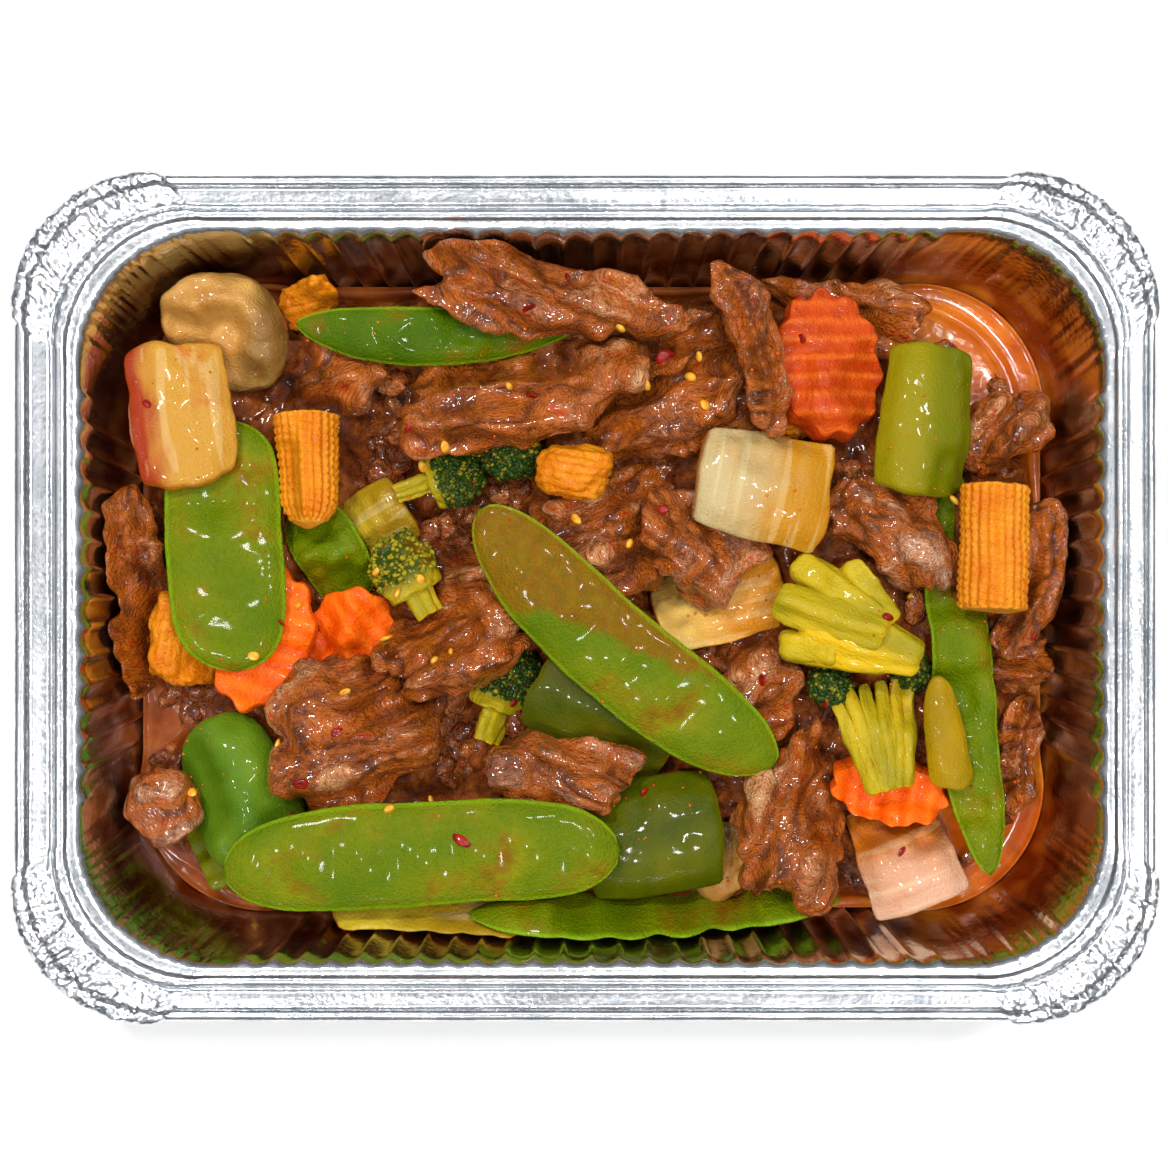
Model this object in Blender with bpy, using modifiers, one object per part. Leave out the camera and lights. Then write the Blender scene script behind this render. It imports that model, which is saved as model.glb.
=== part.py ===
"""Foil tray meal: beef stir-fry with vegetables in a crimped aluminium takeaway tray.

Blender 4.5, metres, +Z up. The origin is the middle of the tray's underside, +X runs along the
tray's length, and the named sizes below are in millimetres until a mesh is made from them.
"""
import math

import bmesh
import bpy
import numpy as np
from mathutils import Euler, Vector

MM = 0.001

# Tray: straight sides, the corner lobes that stand out past them, and the opening
TRAY_HEIGHT = 44.0
SIDE_X = 106.2
SIDE_Y = 78.7
LOBE = 1.3
OPENING_X = 95.6
OPENING_Y = 68.4
OPENING_SHIFT = 1.3
CORNER_RADIUS = 25.0
LOBE_RADIUS = 27.0
FOIL = 0.4
WALL_TAPER = math.tan(math.radians(14.5))
WALL_TOP = TRAY_HEIGHT - 3.0
WALL_FOOT = 3.0
FLOOR_INSET = 2.5
WALL_INSET = 0.4
FLUTE_PITCH = 5.4
FLUTE_DEPTH = 1.0
CRIMP = 0.3
CORNER_STEPS = 8
RIM_SIDE_STEPS = (0.03, 0.5, 0.97)
OPENING_SIDE_STEPS = (0.03, 0.15, 0.3, 0.4, 0.5, 0.6, 0.7, 0.85, 0.97)

# Rim section from the rolled bead to the opening: way in from the outer edge, drop from the top,
# and 1 where the corner crimps ruffle it
RIM_SECTION = (
    (1.5, 2.8, 0),
    (0.3, 2.3, 0),
    (0.0, 1.4, 0),
    (0.4, 0.4, 0),
    (1.3, 0.0, 0),
    (2.3, 0.5, 0),
    (2.8, 1.3, 1),
    (5.9, 1.3, 1),
    (6.3, 1.9, 1),
    (6.9, 1.2, 1),
    (7.4, 0.8, 1),
    (8.4, 0.9, 1),
    (8.7, 1.6, 1),
)
OPENING_DROP = 1.9

# Sauce and heap
SAUCE_LEVEL = 16.0
SAUCE_DEPTH_LEAST = 1.2
SAUCE_CELLS_X = 28
SAUCE_CELLS_Y = 20
GAP = 0.35
CELL = 0.5
SAMPLE = 0.4
PRESS_REACH = 4
PRESS_ROUNDS = 9
PRESS_EXTRA = 0.05
THICK_LEAST = 0.6
SMOOTH_DEGREES = 40.0

# Beef: lobes of a slice's outline as count and share of its size, and waves along and over its fibres
SLICE_LOBES = ((2, 0.09), (3, 0.11), (5, 0.08))
FIBRE_WAVES = 4
FIBRE_ALONG = (0.15, 0.4)
FIBRE_OVER = (0.45, 1.0)
FIBRE_HEIGHT = 1.6
SLICE_RELIEF = 0.22
SHRED_RELIEF = 0.28

# Half sections as share of the half width and of the half thickness, from the top middle down
SLICE_SECTION = ((0.0, 1.0), (0.55, 1.0), (0.96, 0.45), (0.96, -0.45), (0.55, -1.0), (0.0, -1.0))
CARROT_SECTION = ((0.0, 1.0), (0.6, 1.0), (1.0, 1.0), (1.0, -1.0), (0.6, -1.0), (0.0, -1.0))
LUMP_SECTION = ((0.0, 1.0), (0.6, 0.92), (0.97, 0.5), (0.97, -0.5), (0.6, -0.92), (0.0, -1.0))

# Vegetables, as shares of their width or thickness
POD_TIP_POWER = 0.58
PEA_SWELL = 0.2
CORN_ROW_RELIEF = 0.03
CARROT_SCALLOP = 0.045
LUMP_UNEVEN = 0.05
PETAL_CORNERS = 0.3
FLORET_LUMPS = (0.86, 1.14)
FLORET_FLATTEN = 0.7


def clear_scene():
    """Remove what the new file starts with."""
    for thing in list(bpy.data.objects):
        bpy.data.objects.remove(thing)


def collection(name):
    """A collection linked to the scene."""
    group = bpy.data.collections.new(name)
    bpy.context.scene.collection.children.link(group)
    return group


def material(name, colour, roughness, metallic=0.0):
    """A plain Principled material."""
    made = bpy.data.materials.new(name)
    made.use_nodes = True
    shader = made.node_tree.nodes["Principled BSDF"]
    shader.inputs["Base Color"].default_value = (*colour, 1.0)
    shader.inputs["Roughness"].default_value = roughness
    shader.inputs["Metallic"].default_value = metallic
    return made


def link_mesh(shape, name, look, group):
    """Turn a bmesh in millimetres into a named object in metres."""
    bmesh.ops.recalc_face_normals(shape, faces=shape.faces)
    bmesh.ops.scale(shape, vec=(MM, MM, MM), verts=shape.verts)
    mesh = bpy.data.meshes.new(name)
    shape.to_mesh(mesh)
    shape.free()
    mesh.shade_smooth()
    mesh.set_sharp_from_angle(angle=math.radians(SMOOTH_DEGREES))
    mesh.materials.append(look)
    thing = bpy.data.objects.new(name, mesh)
    group.objects.link(thing)
    return thing


def rounded_ring(half_x, half_y, radius, centre_x, side_steps, lobe=0.0, flute=0.0):
    """Points round a rounded rectangle: (share of the way round, x, y, crimp sign)."""
    points = []
    for quarter in range(4):
        across = math.cos(quarter * math.pi / 2 + math.pi / 4)
        up = math.sin(quarter * math.pi / 2 + math.pi / 4)
        middle_x = math.copysign(half_x - radius, across)
        middle_y = math.copysign(half_y - radius, up)
        for step in range(CORNER_STEPS + 1):
            angle = (quarter + step / CORNER_STEPS) * math.pi / 2
            reach = radius + lobe
            x = middle_x + reach * math.cos(angle)
            y = middle_y + reach * math.sin(angle)
            share = quarter + 0.5 * step / CORNER_STEPS
            points.append((share, centre_x + x, y, 1 if step % 2 else -1))
        turn = (quarter + 1) * math.pi / 2
        steps = side_steps[quarter % 2]
        start = Vector((middle_x + radius * math.cos(turn), middle_y + radius * math.sin(turn)))
        if quarter % 2 == 0:
            finish = Vector((-start.x, start.y))
        else:
            finish = Vector((start.x, -start.y))
        inward = Vector((-math.cos(turn), -math.sin(turn)))
        for index, step in enumerate(steps):
            spot = start.lerp(finish, step) + inward * (flute if index % 2 == 0 else 0.0)
            points.append((quarter + 0.5 + 0.5 * step, centre_x + spot.x, spot.y, 0))
    return points


def add_ring(shape, points, height, crimp=0.0):
    """Add one ring of vertices at a height, ruffled up and down at the corners."""
    ring = []
    for share, x, y, sign in points:
        ring.append((share, shape.verts.new((x, y, height + crimp * sign))))
    return ring


def bridge(shape, outer, inner):
    """Faces between two rings, as quads where they match and as triangles where they don't."""
    if len(outer) == len(inner):
        for index in range(len(outer)):
            following = (index + 1) % len(outer)
            corners = (outer[index], outer[following], inner[following], inner[index])
            shape.faces.new([corner for share, corner in corners])
        return
    outer_end = outer + [(4.0, outer[0][1])]
    inner_end = inner + [(4.0, inner[0][1])]
    i, j = 0, 0
    while i < len(outer) or j < len(inner):
        outer_next = outer_end[i + 1][0] if i < len(outer) else math.inf
        inner_next = inner_end[j + 1][0] if j < len(inner) else math.inf
        if outer_next <= inner_next:
            shape.faces.new((outer_end[i][1], outer_end[i + 1][1], inner_end[j][1]))
            i += 1
        else:
            shape.faces.new((outer_end[i][1], inner_end[j + 1][1], inner_end[j][1]))
            j += 1


def build_tray(group):
    """The pressed foil tray: rolled bead, stepped rim, fluted tapering walls and flat floor."""
    shape = bmesh.new()
    rim_steps = (RIM_SIDE_STEPS, RIM_SIDE_STEPS)
    rim_width = SIDE_X - OPENING_X
    rings = []
    for way_in, drop, crimped in RIM_SECTION:
        out = 1.0 - way_in / rim_width
        points = rounded_ring(
            OPENING_X + (SIDE_X - OPENING_X) * out,
            OPENING_Y + (SIDE_Y - OPENING_Y) * out,
            CORNER_RADIUS + (LOBE_RADIUS - CORNER_RADIUS) * out,
            OPENING_SHIFT * (1.0 - out),
            rim_steps,
            lobe=LOBE * out,
        )
        rings.append(add_ring(shape, points, TRAY_HEIGHT - drop, CRIMP * crimped))
    opening = rounded_ring(
        OPENING_X, OPENING_Y, CORNER_RADIUS, OPENING_SHIFT, (OPENING_SIDE_STEPS, OPENING_SIDE_STEPS)
    )
    rings.append(add_ring(shape, opening, TRAY_HEIGHT - OPENING_DROP))
    flutes_x = round(2 * (OPENING_X - CORNER_RADIUS) / FLUTE_PITCH)
    flutes_y = round(2 * (OPENING_Y - CORNER_RADIUS) / FLUTE_PITCH)
    flute_steps = []
    for count in (flutes_x, flutes_y):
        flute_steps.append([step / (2 * count) for step in range(1, 2 * count)])
    for height in (WALL_TOP, WALL_FOOT):
        inset = WALL_INSET + (WALL_TOP - height) * WALL_TAPER
        points = rounded_ring(
            OPENING_X - inset,
            OPENING_Y - inset,
            CORNER_RADIUS,
            OPENING_SHIFT,
            flute_steps,
            flute=FLUTE_DEPTH,
        )
        rings.append(add_ring(shape, points, height))
    inset = WALL_INSET + (WALL_TOP - WALL_FOOT) * WALL_TAPER + FLOOR_INSET
    floor_ring = rounded_ring(
        OPENING_X - inset, OPENING_Y - inset, CORNER_RADIUS - FLOOR_INSET, OPENING_SHIFT, rim_steps
    )
    rings.append(add_ring(shape, floor_ring, FOIL))
    for outer, inner in zip(rings, rings[1:]):
        bridge(shape, outer, inner)
    shape.faces.new([corner for share, corner in rings[-1]])
    bmesh.ops.scale(shape, vec=(MM, MM, MM), verts=shape.verts)
    mesh = bpy.data.meshes.new("tray")
    shape.to_mesh(mesh)
    shape.free()
    mesh.shade_smooth()
    mesh.set_sharp_from_angle(angle=math.radians(35.0))
    mesh.materials.append(material("foil", (0.78, 0.79, 0.80), 0.22, 1.0))
    tray = bpy.data.objects.new("tray", mesh)
    group.objects.link(tray)
    shell = tray.modifiers.new("foil thickness", "SOLIDIFY")
    shell.thickness = FOIL * MM
    shell.offset = -1.0
    return tray


def reshaped_ball(around, bands, place):
    """A sphere with each vertex moved to place(angle, band); band 0 is one pole."""
    shape = bmesh.new()
    bmesh.ops.create_uvsphere(shape, u_segments=around, v_segments=bands, radius=1.0)
    for corner in shape.verts:
        band = round(math.acos(max(-1.0, min(1.0, corner.co.z))) / math.pi * bands)
        angle = math.atan2(corner.co.y, corner.co.x)
        corner.co = place(angle, band)
    return shape


def fibre_waves(seed):
    """A smooth seeded wave of x and y, about -1 to 1, longer along x as meat fibres run."""
    draw = np.random.default_rng(seed)
    along = draw.uniform(*FIBRE_ALONG, FIBRE_WAVES)
    over = draw.uniform(*FIBRE_OVER, FIBRE_WAVES)
    phase = draw.uniform(0.0, 2 * math.pi, FIBRE_WAVES)

    def wave(x, y):
        return float(np.mean(np.sin(along * x + over * y + phase)) * FIBRE_HEIGHT)

    return wave


def bend_along(x, y, degrees, length):
    """Bend a straight piece in its plane so that its ends turn by degrees in all."""
    if abs(degrees) < 1.0:
        return x, y
    radius = length / math.radians(degrees)
    angle = x / radius
    return (radius + y) * math.sin(angle), radius - (radius + y) * math.cos(angle)


def slab(length, width, thick, seed, fold=0.0, around=14):
    """A torn slice of beef: an uneven outline, a wavy top and rounded edges."""
    draw = np.random.default_rng(seed)
    phases = draw.uniform(0.0, 2 * math.pi, len(SLICE_LOBES))
    wave = fibre_waves(seed)

    def place(angle, band):
        reach, height = SLICE_SECTION[band]
        out = reach
        for (count, size), phase in zip(SLICE_LOBES, phases):
            out += reach * size * math.cos(count * angle + phase)
        x = 0.5 * length * out * math.cos(angle)
        y = 0.5 * width * out * math.sin(angle)
        lift = fold * (1.0 - (2 * y / width) ** 2) + SLICE_RELIEF * thick * wave(x, y)
        return Vector((x, y, 0.5 * thick * height + lift))

    return reshaped_ball(around, len(SLICE_SECTION) - 1, place)


def strip(length, width, thick, bend, seed, arch=0.0, around=7, bands=9):
    """A long shred of beef: a rounded bar, bent in its plane and tapered at its ends."""
    wave = fibre_waves(seed)

    def place(angle, band):
        along = 1.0 - 2.0 * band / bands
        full = max(0.0, 1.0 - abs(along) ** 3) ** 0.5
        if band in (0, bands):
            full = 0.0
        swell = 1.0 + SHRED_RELIEF * wave(0.5 * length * along, 3.0 * angle)
        y = 0.5 * width * full * swell * math.cos(angle)
        z = 0.5 * thick * full * swell * math.sin(angle)
        x, y = bend_along(0.5 * length * along, y, bend, length)
        return Vector((x, y, z + arch * (1.0 - along * along)))

    return reshaped_ball(around, bands, place)


def pod(length, width, thick, bow=0.0, arch=0.0, peas=5, blunt=3, around=8, bands=11):
    """A snow pea pod: thin edges, low swellings over its peas, and ends that are rounder as blunt grows."""

    def place(angle, band):
        along = math.cos(math.pi * band / bands)
        full = max(0.0, 1.0 - abs(along) ** blunt) ** POD_TIP_POWER
        if band in (0, bands):
            full = 0.0
        pea = 1.0 + PEA_SWELL * math.cos(math.pi * peas * along)
        y = 0.5 * width * full * math.cos(angle) + bow * (1.0 - along * along)
        z = 0.5 * thick * full * pea * math.sin(angle) + arch * (1.0 - along * along)
        return Vector((0.5 * length * along, y, z))

    return reshaped_ball(around, bands, place)


def ear(length, width, tip, around=10, bands=8):
    """A cut piece of baby corn: flat at the cut end, tip 0 for blunt to 1 for a rounded end."""

    def place(angle, band):
        along = band / bands
        if band == 0:
            reach, x = 0.0, 0.5 * length
        elif band == bands:
            reach, x = 0.0, -0.5 * length
        elif band == bands - 1:
            reach, x = 1.0, -0.5 * length
        else:
            reach = 1.0 - tip * (0.12 * (1.0 - along) + 0.38 * (1.0 - along) ** 6)
            x = 0.5 * length - length * (band - 1) / (bands - 2)
        row = 1.0 + CORN_ROW_RELIEF * math.cos(around * 0.5 * angle)
        return Vector((x, 0.5 * width * reach * row * math.cos(angle),
                       0.5 * width * reach * row * math.sin(angle)))

    return reshaped_ball(around, bands, place)


def crinkle_slice(length, width, thick, scallops):
    """A crinkle-cut carrot slice: a round or oval disc with a scalloped edge."""

    def place(angle, band):
        reach, height = CARROT_SECTION[band]
        out = reach * (1.0 + CARROT_SCALLOP * reach * math.cos(scallops * angle))
        x = 0.5 * length * out * math.cos(angle)
        y = 0.5 * width * out * math.sin(angle)
        return Vector((x, y, 0.5 * thick * height))

    return reshaped_ball(2 * scallops, len(CARROT_SECTION) - 1, place)


def chunk(length, width, thick, seed, square=0.0, around=10):
    """A cut lump: square 0 is a rounded lump and 1 a blocky one."""
    draw = np.random.default_rng(seed)
    phases = draw.uniform(0.0, 2 * math.pi, 2)

    def place(angle, band):
        reach, height = LUMP_SECTION[band]
        corner = 1.0 / max(abs(math.cos(angle)), abs(math.sin(angle)))
        out = reach * (1.0 + square * 0.6 * (corner - 1.0))
        uneven = math.cos(2 * angle + phases[0]) + math.cos(3 * angle + phases[1])
        out *= 1.0 + LUMP_UNEVEN * uneven
        return Vector((0.5 * length * out * math.cos(angle), 0.5 * width * out * math.sin(angle),
                       0.5 * thick * height))

    return reshaped_ball(around, len(LUMP_SECTION) - 1, place)


def petal(length, width, thick, curl, bow=0.0, taper=0.0, cells=(5, 4)):
    """A curved sheet of pepper or onion: curl turns it about its length, bow lifts its middle."""
    shape = bmesh.new()
    bmesh.ops.create_grid(shape, x_segments=cells[0], y_segments=cells[1], size=1.0)
    turn = math.radians(curl)
    for corner in shape.verts:
        u, v = corner.co.x, corner.co.y
        pull = 1.0 - PETAL_CORNERS * 0.5 * u * u * v * v
        side = v * (1.0 - taper * u) * pull
        x = 0.5 * length * u * pull
        if abs(turn) > 0.01:
            radius = width / turn
            angle = 0.5 * turn * side
            y = radius * math.sin(angle)
            z = radius * (math.cos(angle) - 1.0)
        else:
            y, z = 0.5 * width * side, 0.0
        corner.co = Vector((x, y, z + bow * (1.0 - u * u)))
    bmesh.ops.solidify(shape, geom=shape.faces[:], thickness=thick)
    return shape


def floret(length, stalk, head, head_share, seed, around=10, bands=10):
    """Broccoli: a stalk towards -x that spreads into a lumpy head towards +x."""
    draw = np.random.default_rng(seed)
    lumps = draw.uniform(*FLORET_LUMPS, (bands + 1, around))

    def place(angle, band):
        along = 1.0 - band / bands
        if band in (0, bands):
            return Vector((length * (along - 0.5), 0.0, 0.0))
        if band == bands - 1:
            reach, along = stalk, 0.0
        elif along < 1.0 - head_share:
            reach = stalk * (0.85 + 0.3 * along)
        else:
            into = (along - 1.0 + head_share) / head_share
            reach = stalk + (head - stalk) * math.sin(math.pi * min(1.0, 0.25 + 0.7 * into))
            reach *= lumps[band][round((angle / (2 * math.pi) % 1.0) * around) % around]
        return Vector((length * (along - 0.5), 0.5 * reach * math.cos(angle),
                       0.5 * reach * FLORET_FLATTEN * math.sin(angle)))

    return reshaped_ball(around, bands, place)


def grid_axes():
    """Cell centres of the grid that the heap is settled on."""
    x = np.arange(-SIDE_X, SIDE_X, CELL) + 0.5 * CELL
    y = np.arange(-SIDE_Y, SIDE_Y, CELL) + 0.5 * CELL
    return x, y


GRID_X, GRID_Y = grid_axes()


def cell_of(x, y):
    """Row and column of the cells that hold these points."""
    column = np.clip(((x + SIDE_X) / CELL).astype(int), 0, len(GRID_X) - 1)
    row = np.clip(((y + SIDE_Y) / CELL).astype(int), 0, len(GRID_Y) - 1)
    return row, column


def wall_height(x, y):
    """Height of the tray's inside under each point, from inside its flutes and floor."""
    clear = WALL_INSET + FLUTE_DEPTH + GAP + (WALL_TOP - FOIL) * WALL_TAPER
    across = np.abs(x - OPENING_SHIFT) - (OPENING_X - clear) + CORNER_RADIUS
    up = np.abs(y) - (OPENING_Y - clear) + CORNER_RADIUS
    both = across + up
    root = np.sqrt(np.maximum(both ** 2 - 2 * (across ** 2 + up ** 2 - CORNER_RADIUS ** 2), 0.0))
    corner = 0.5 * (both - root)
    in_corner = (across > corner) & (up > corner)
    shift = np.where(in_corner, corner, np.maximum(across, up) - CORNER_RADIUS)
    return FOIL + GAP + np.maximum(shift, 0.0) / WALL_TAPER


def heights(shape):
    """Lowest and highest height of a closed shape over each cell of the grid."""
    low = np.full((len(GRID_Y), len(GRID_X)), np.inf)
    high = np.full_like(low, -np.inf)
    triangles = shape.calc_loop_triangles()
    for triangle in triangles:
        a, b, c = (np.array(loop.vert.co) for loop in triangle)
        longest = max(np.linalg.norm(b - a), np.linalg.norm(c - b), np.linalg.norm(a - c))
        count = int(longest / SAMPLE) + 2
        u, v = np.meshgrid(np.linspace(0, 1, count), np.linspace(0, 1, count))
        inside = u + v <= 1.0 + 1e-9
        u, v = u[inside], v[inside]
        spots = a + np.outer(u, b - a) + np.outer(v, c - a)
        row, column = cell_of(spots[:, 0], spots[:, 1])
        np.minimum.at(low, (row, column), spots[:, 2])
        np.maximum.at(high, (row, column), spots[:, 2])
    return low, high


def widened(field, reach, pick):
    """Each cell takes the lowest or highest value within reach cells, as pick says."""
    for axis in (0, 1):
        result = field.copy()
        for shift in range(1, reach + 1):
            result = pick(result, np.roll(field, shift, axis))
            result = pick(result, np.roll(field, -shift, axis))
        field = result
    return field


def softened(field, reach):
    """Each cell takes the mean within reach cells."""
    for axis in (0, 1):
        total = field.copy()
        for shift in range(1, reach + 1):
            total += np.roll(field, shift, axis) + np.roll(field, -shift, axis)
        field = total / (2 * reach + 1)
    return field


def press_under(shape, ceiling):
    """Bend a shape down, column by column, until it is clear of what lies on it."""
    spread = PRESS_REACH
    for attempt in range(PRESS_ROUNDS):
        low, high = heights(shape)
        covered = np.isfinite(high) & np.isfinite(ceiling)
        need = np.where(covered, high + GAP - np.where(covered, ceiling, 0.0), 0.0)
        if need.max() <= 0.0:
            return
        wide = widened(np.maximum(need, 0.0), spread + 3, np.maximum)
        push = softened(wide, spread // 2) + (PRESS_EXTRA if attempt else 0.0) * (wide > 0.0)
        x = np.array([corner.co.x for corner in shape.verts])
        y = np.array([corner.co.y for corner in shape.verts])
        row, column = cell_of(x, y)
        for corner, down in zip(shape.verts, push[row, column]):
            corner.co.z -= down
        spread += 2


def lift_off_tray(shape):
    """Raise what would reach into the tray's floor or walls, keeping a little thickness."""
    lowest = min(corner.co.z for corner in shape.verts)
    tallest = max(corner.co.z for corner in shape.verts)
    for corner in shape.verts:
        share = (corner.co.z - lowest) / max(tallest - lowest, 1e-6)
        floor = float(wall_height(np.array(corner.co.x), np.array(corner.co.y)))
        corner.co.z = max(corner.co.z, floor + THICK_LEAST * share)


class Heap:
    """Pieces laid from the top one down, each bent to lie under those laid before it."""

    def __init__(self, group):
        self.group = group
        self.ceiling = np.full((len(GRID_Y), len(GRID_X)), np.inf)

    def lay(self, name, shape, at, turn, look):
        """Turn a piece by (roll, pitch, yaw) degrees, put its middle at a place and settle it."""
        rotation = Euler([math.radians(angle) for angle in turn], "XYZ").to_matrix()
        for corner in shape.verts:
            corner.co = rotation @ corner.co + Vector(at)
        bmesh.ops.triangulate(shape, faces=shape.faces[:])
        press_under(shape, self.ceiling)
        lift_off_tray(shape)
        low, high = heights(shape)
        self.ceiling = np.minimum(self.ceiling, widened(low, 1, np.minimum))
        link_mesh(shape, name, look, self.group)


def build_sauce(heap, look):
    """The pooled sauce: level where it shows, and pressed down under every piece."""
    shape = bmesh.new()
    reach = int(round(2 * OPENING_X / SAUCE_CELLS_X / CELL)) + 2
    room = widened(heap.ceiling, reach, np.minimum) - GAP

    def outline(height):
        inset = WALL_INSET + FLUTE_DEPTH + GAP + (WALL_TOP - height) * WALL_TAPER
        return OPENING_X - inset, OPENING_Y - inset

    def spot(u, v, height):
        half_x, half_y = outline(height)
        x, y = u * half_x, v * half_y
        past_x, past_y = abs(x) - half_x + CORNER_RADIUS, abs(y) - half_y + CORNER_RADIUS
        if past_x > 0.0 and past_y > 0.0:
            scale = max(past_x, past_y) / math.hypot(past_x, past_y)
            x = math.copysign(half_x - CORNER_RADIUS + past_x * scale, x)
            y = math.copysign(half_y - CORNER_RADIUS + past_y * scale, y)
        return x + OPENING_SHIFT, y

    bmesh.ops.create_grid(shape, x_segments=SAUCE_CELLS_X, y_segments=SAUCE_CELLS_Y, size=1.0)
    bed = FOIL + 2 * GAP
    rim = []
    for corner in shape.verts:
        u, v = corner.co.x, corner.co.y
        x, y = spot(u, v, SAUCE_LEVEL)
        row, column = cell_of(np.array(x), np.array(y))
        height = min(SAUCE_LEVEL, max(float(room[row, column]), bed + SAUCE_DEPTH_LEAST))
        if max(abs(u), abs(v)) > 0.999:
            x, y = spot(u, v, height)
            rim.append((math.atan2(v, u), corner, u, v))
        corner.co = Vector((x, y, height))
    rim.sort(key=lambda entry: entry[0])
    foot = []
    for angle, corner, u, v in rim:
        x, y = spot(u, v, bed + 0.5 * WALL_FOOT)
        inward = 1.0 - FLOOR_INSET / OPENING_Y
        foot.append(shape.verts.new(Vector((x * inward, y * inward, bed))))
    for index in range(len(rim)):
        following = (index + 1) % len(rim)
        shape.faces.new((rim[following][1], rim[index][1], foot[index], foot[following]))
    shape.faces.new(foot)
    link_mesh(shape, "sauce", look, heap.group)


def build_food(group):
    """Every piece of food, from the topmost down, as the heap lies in the tray."""
    beef = material("beef", (0.20, 0.075, 0.03), 0.35)
    pea = material("snow pea", (0.13, 0.36, 0.02), 0.3)
    pepper = material("green pepper", (0.15, 0.30, 0.02), 0.25)
    corn = material("baby corn", (0.82, 0.36, 0.02), 0.4)
    carrot = material("carrot", (0.88, 0.12, 0.005), 0.35)
    onion = material("onion", (0.66, 0.50, 0.22), 0.3)
    mushroom = material("mushroom", (0.34, 0.22, 0.09), 0.35)
    broccoli = material("broccoli", (0.40, 0.50, 0.03), 0.45)
    heap = Heap(group)
    lay = heap.lay

    # Pieces that lie on top of all others
    lay("onion_left", petal(27, 21, 3.2, 35, bow=2.0), (-77, 35, 33), (4, 6, 98), onion)
    lay("pea_long", pod(75, 19.5, 5.5, bow=1.5, peas=7, blunt=5), (-31, -50, 33), (6, 0, 3), pea)
    lay("corn_right", ear(24, 13, 0.2), (77.5, 9.5, 34), (0, 4, 88), corn)
    lay("beef_hook", strip(36, 9, 6, -38, 11, arch=1.5), (32, 48, 37), (0, 4, -72), beef)
    lay("pepper_right", petal(29, 20, 4.0, 75, bow=2.0, taper=0.05), (65, 34, 35), (6, 4, 84), pepper)
    lay("onion_top", petal(26, 22, 4.5, 45, bow=2.0, taper=-0.1), (34, 21, 38), (-4, 8, -12), onion)
    lay("corn_top", chunk(14, 11, 9, 21, square=0.5), (-2, 24, 32.5), (8, 0, -10), corn)
    lay("broccoli_stalk", floret(29, 15, 21, 0.55, 22), (50, -5, 33), (0, 6, 155), broccoli)
    lay("pea_middle", pod(74, 18, 5, bow=-3.0, arch=1.0, peas=6, blunt=4), (8, -8, 35), (8, 6, -41), pea)
    lay("beef_tray_left", chunk(16, 15, 9, 23), (-81, -40, 27), (0, 6, 30), beef)

    # Upper left: mushroom, beef slices and the pods between them
    lay("mushroom_left", chunk(28, 22, 17, 24), (-68.5, 51, 28), (0, 8, -20), mushroom)
    lay("pea_left", pod(48, 21.5, 5, bow=1.0, peas=4, blunt=5), (-68, 10, 30), (4, 4, 94), pea)
    lay("beef_top", slab(50, 17, 7, 25, fold=1.5, around=18), (-8, 57, 34), (8, 0, -8), beef)
    lay("pea_top", pod(56, 10.5, 4.5, bow=-3.5, peas=6), (-27, 53.5, 32), (10, 0, 3), pea)
    lay("beef_centre", slab(54, 25, 8, 26, fold=2.0, around=20), (-13, 41, 33), (-6, -3, 18), beef)
    lay("corn_left", ear(22, 12.5, 1.0), (-53, 24, 31), (0, -6, -88), corn)
    lay("beef_upper_left", slab(33, 20, 7, 27, fold=1.0), (-52, 41, 31), (4, 4, 32), beef)
    lay("corn_wedge", chunk(11, 10, 8, 28, square=0.7), (-54, 57, 28), (0, 0, 10), corn)

    # Upper right: carrot, beef and the pieces round the open pool of sauce
    lay("carrot_top", crinkle_slice(29, 21, 5.5, 11), (46, 44, 33), (16, 14, 96), carrot)
    lay("corn_middle", ear(16, 10.5, 0.0), (42, 36, 28), (0, 0, 4), corn)
    lay("beef_upper_right", slab(30, 14, 7, 29), (52, 55, 27), (8, 4, -16), beef)
    lay("beef_side", slab(20, 15, 12, 30, fold=1.0), (81, 32, 23.5), (0, 8, 60), beef)
    lay("beef_right", slab(30, 20, 8, 31, fold=1.5), (59, 14, 29), (0, 4, -48), beef)

    # Middle: curled slices of beef round the chunk of corn
    lay("beef_curl", slab(37, 27, 12, 32, fold=2.0, around=18), (16, 39, 28), (0, 4, 34), beef)
    lay("beef_lean", slab(27, 21, 8, 33, fold=1.0), (22, 11, 31), (4, 4, -20), beef)
    lay("beef_middle", slab(34, 28, 11, 34, fold=1.5, around=18), (5, 13, 28.5), (0, 0, 40), beef)
    lay("onion_middle", petal(26, 16, 3.2, 30, bow=1.0), (26, -1, 30), (-6, 4, 14), onion)
    lay("broccoli_upper", floret(15, 5, 12, 0.6, 35), (-14, 30, 28), (0, 10, -100), broccoli)
    lay("broccoli_dark", floret(18, 4, 13, 0.6, 36), (-28, 23, 29), (0, -8, 20), broccoli)
    lay("broccoli_crumb", floret(17, 6, 12, 0.7, 41), (-34, 4, 28), (0, 0, 120), broccoli)

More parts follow.
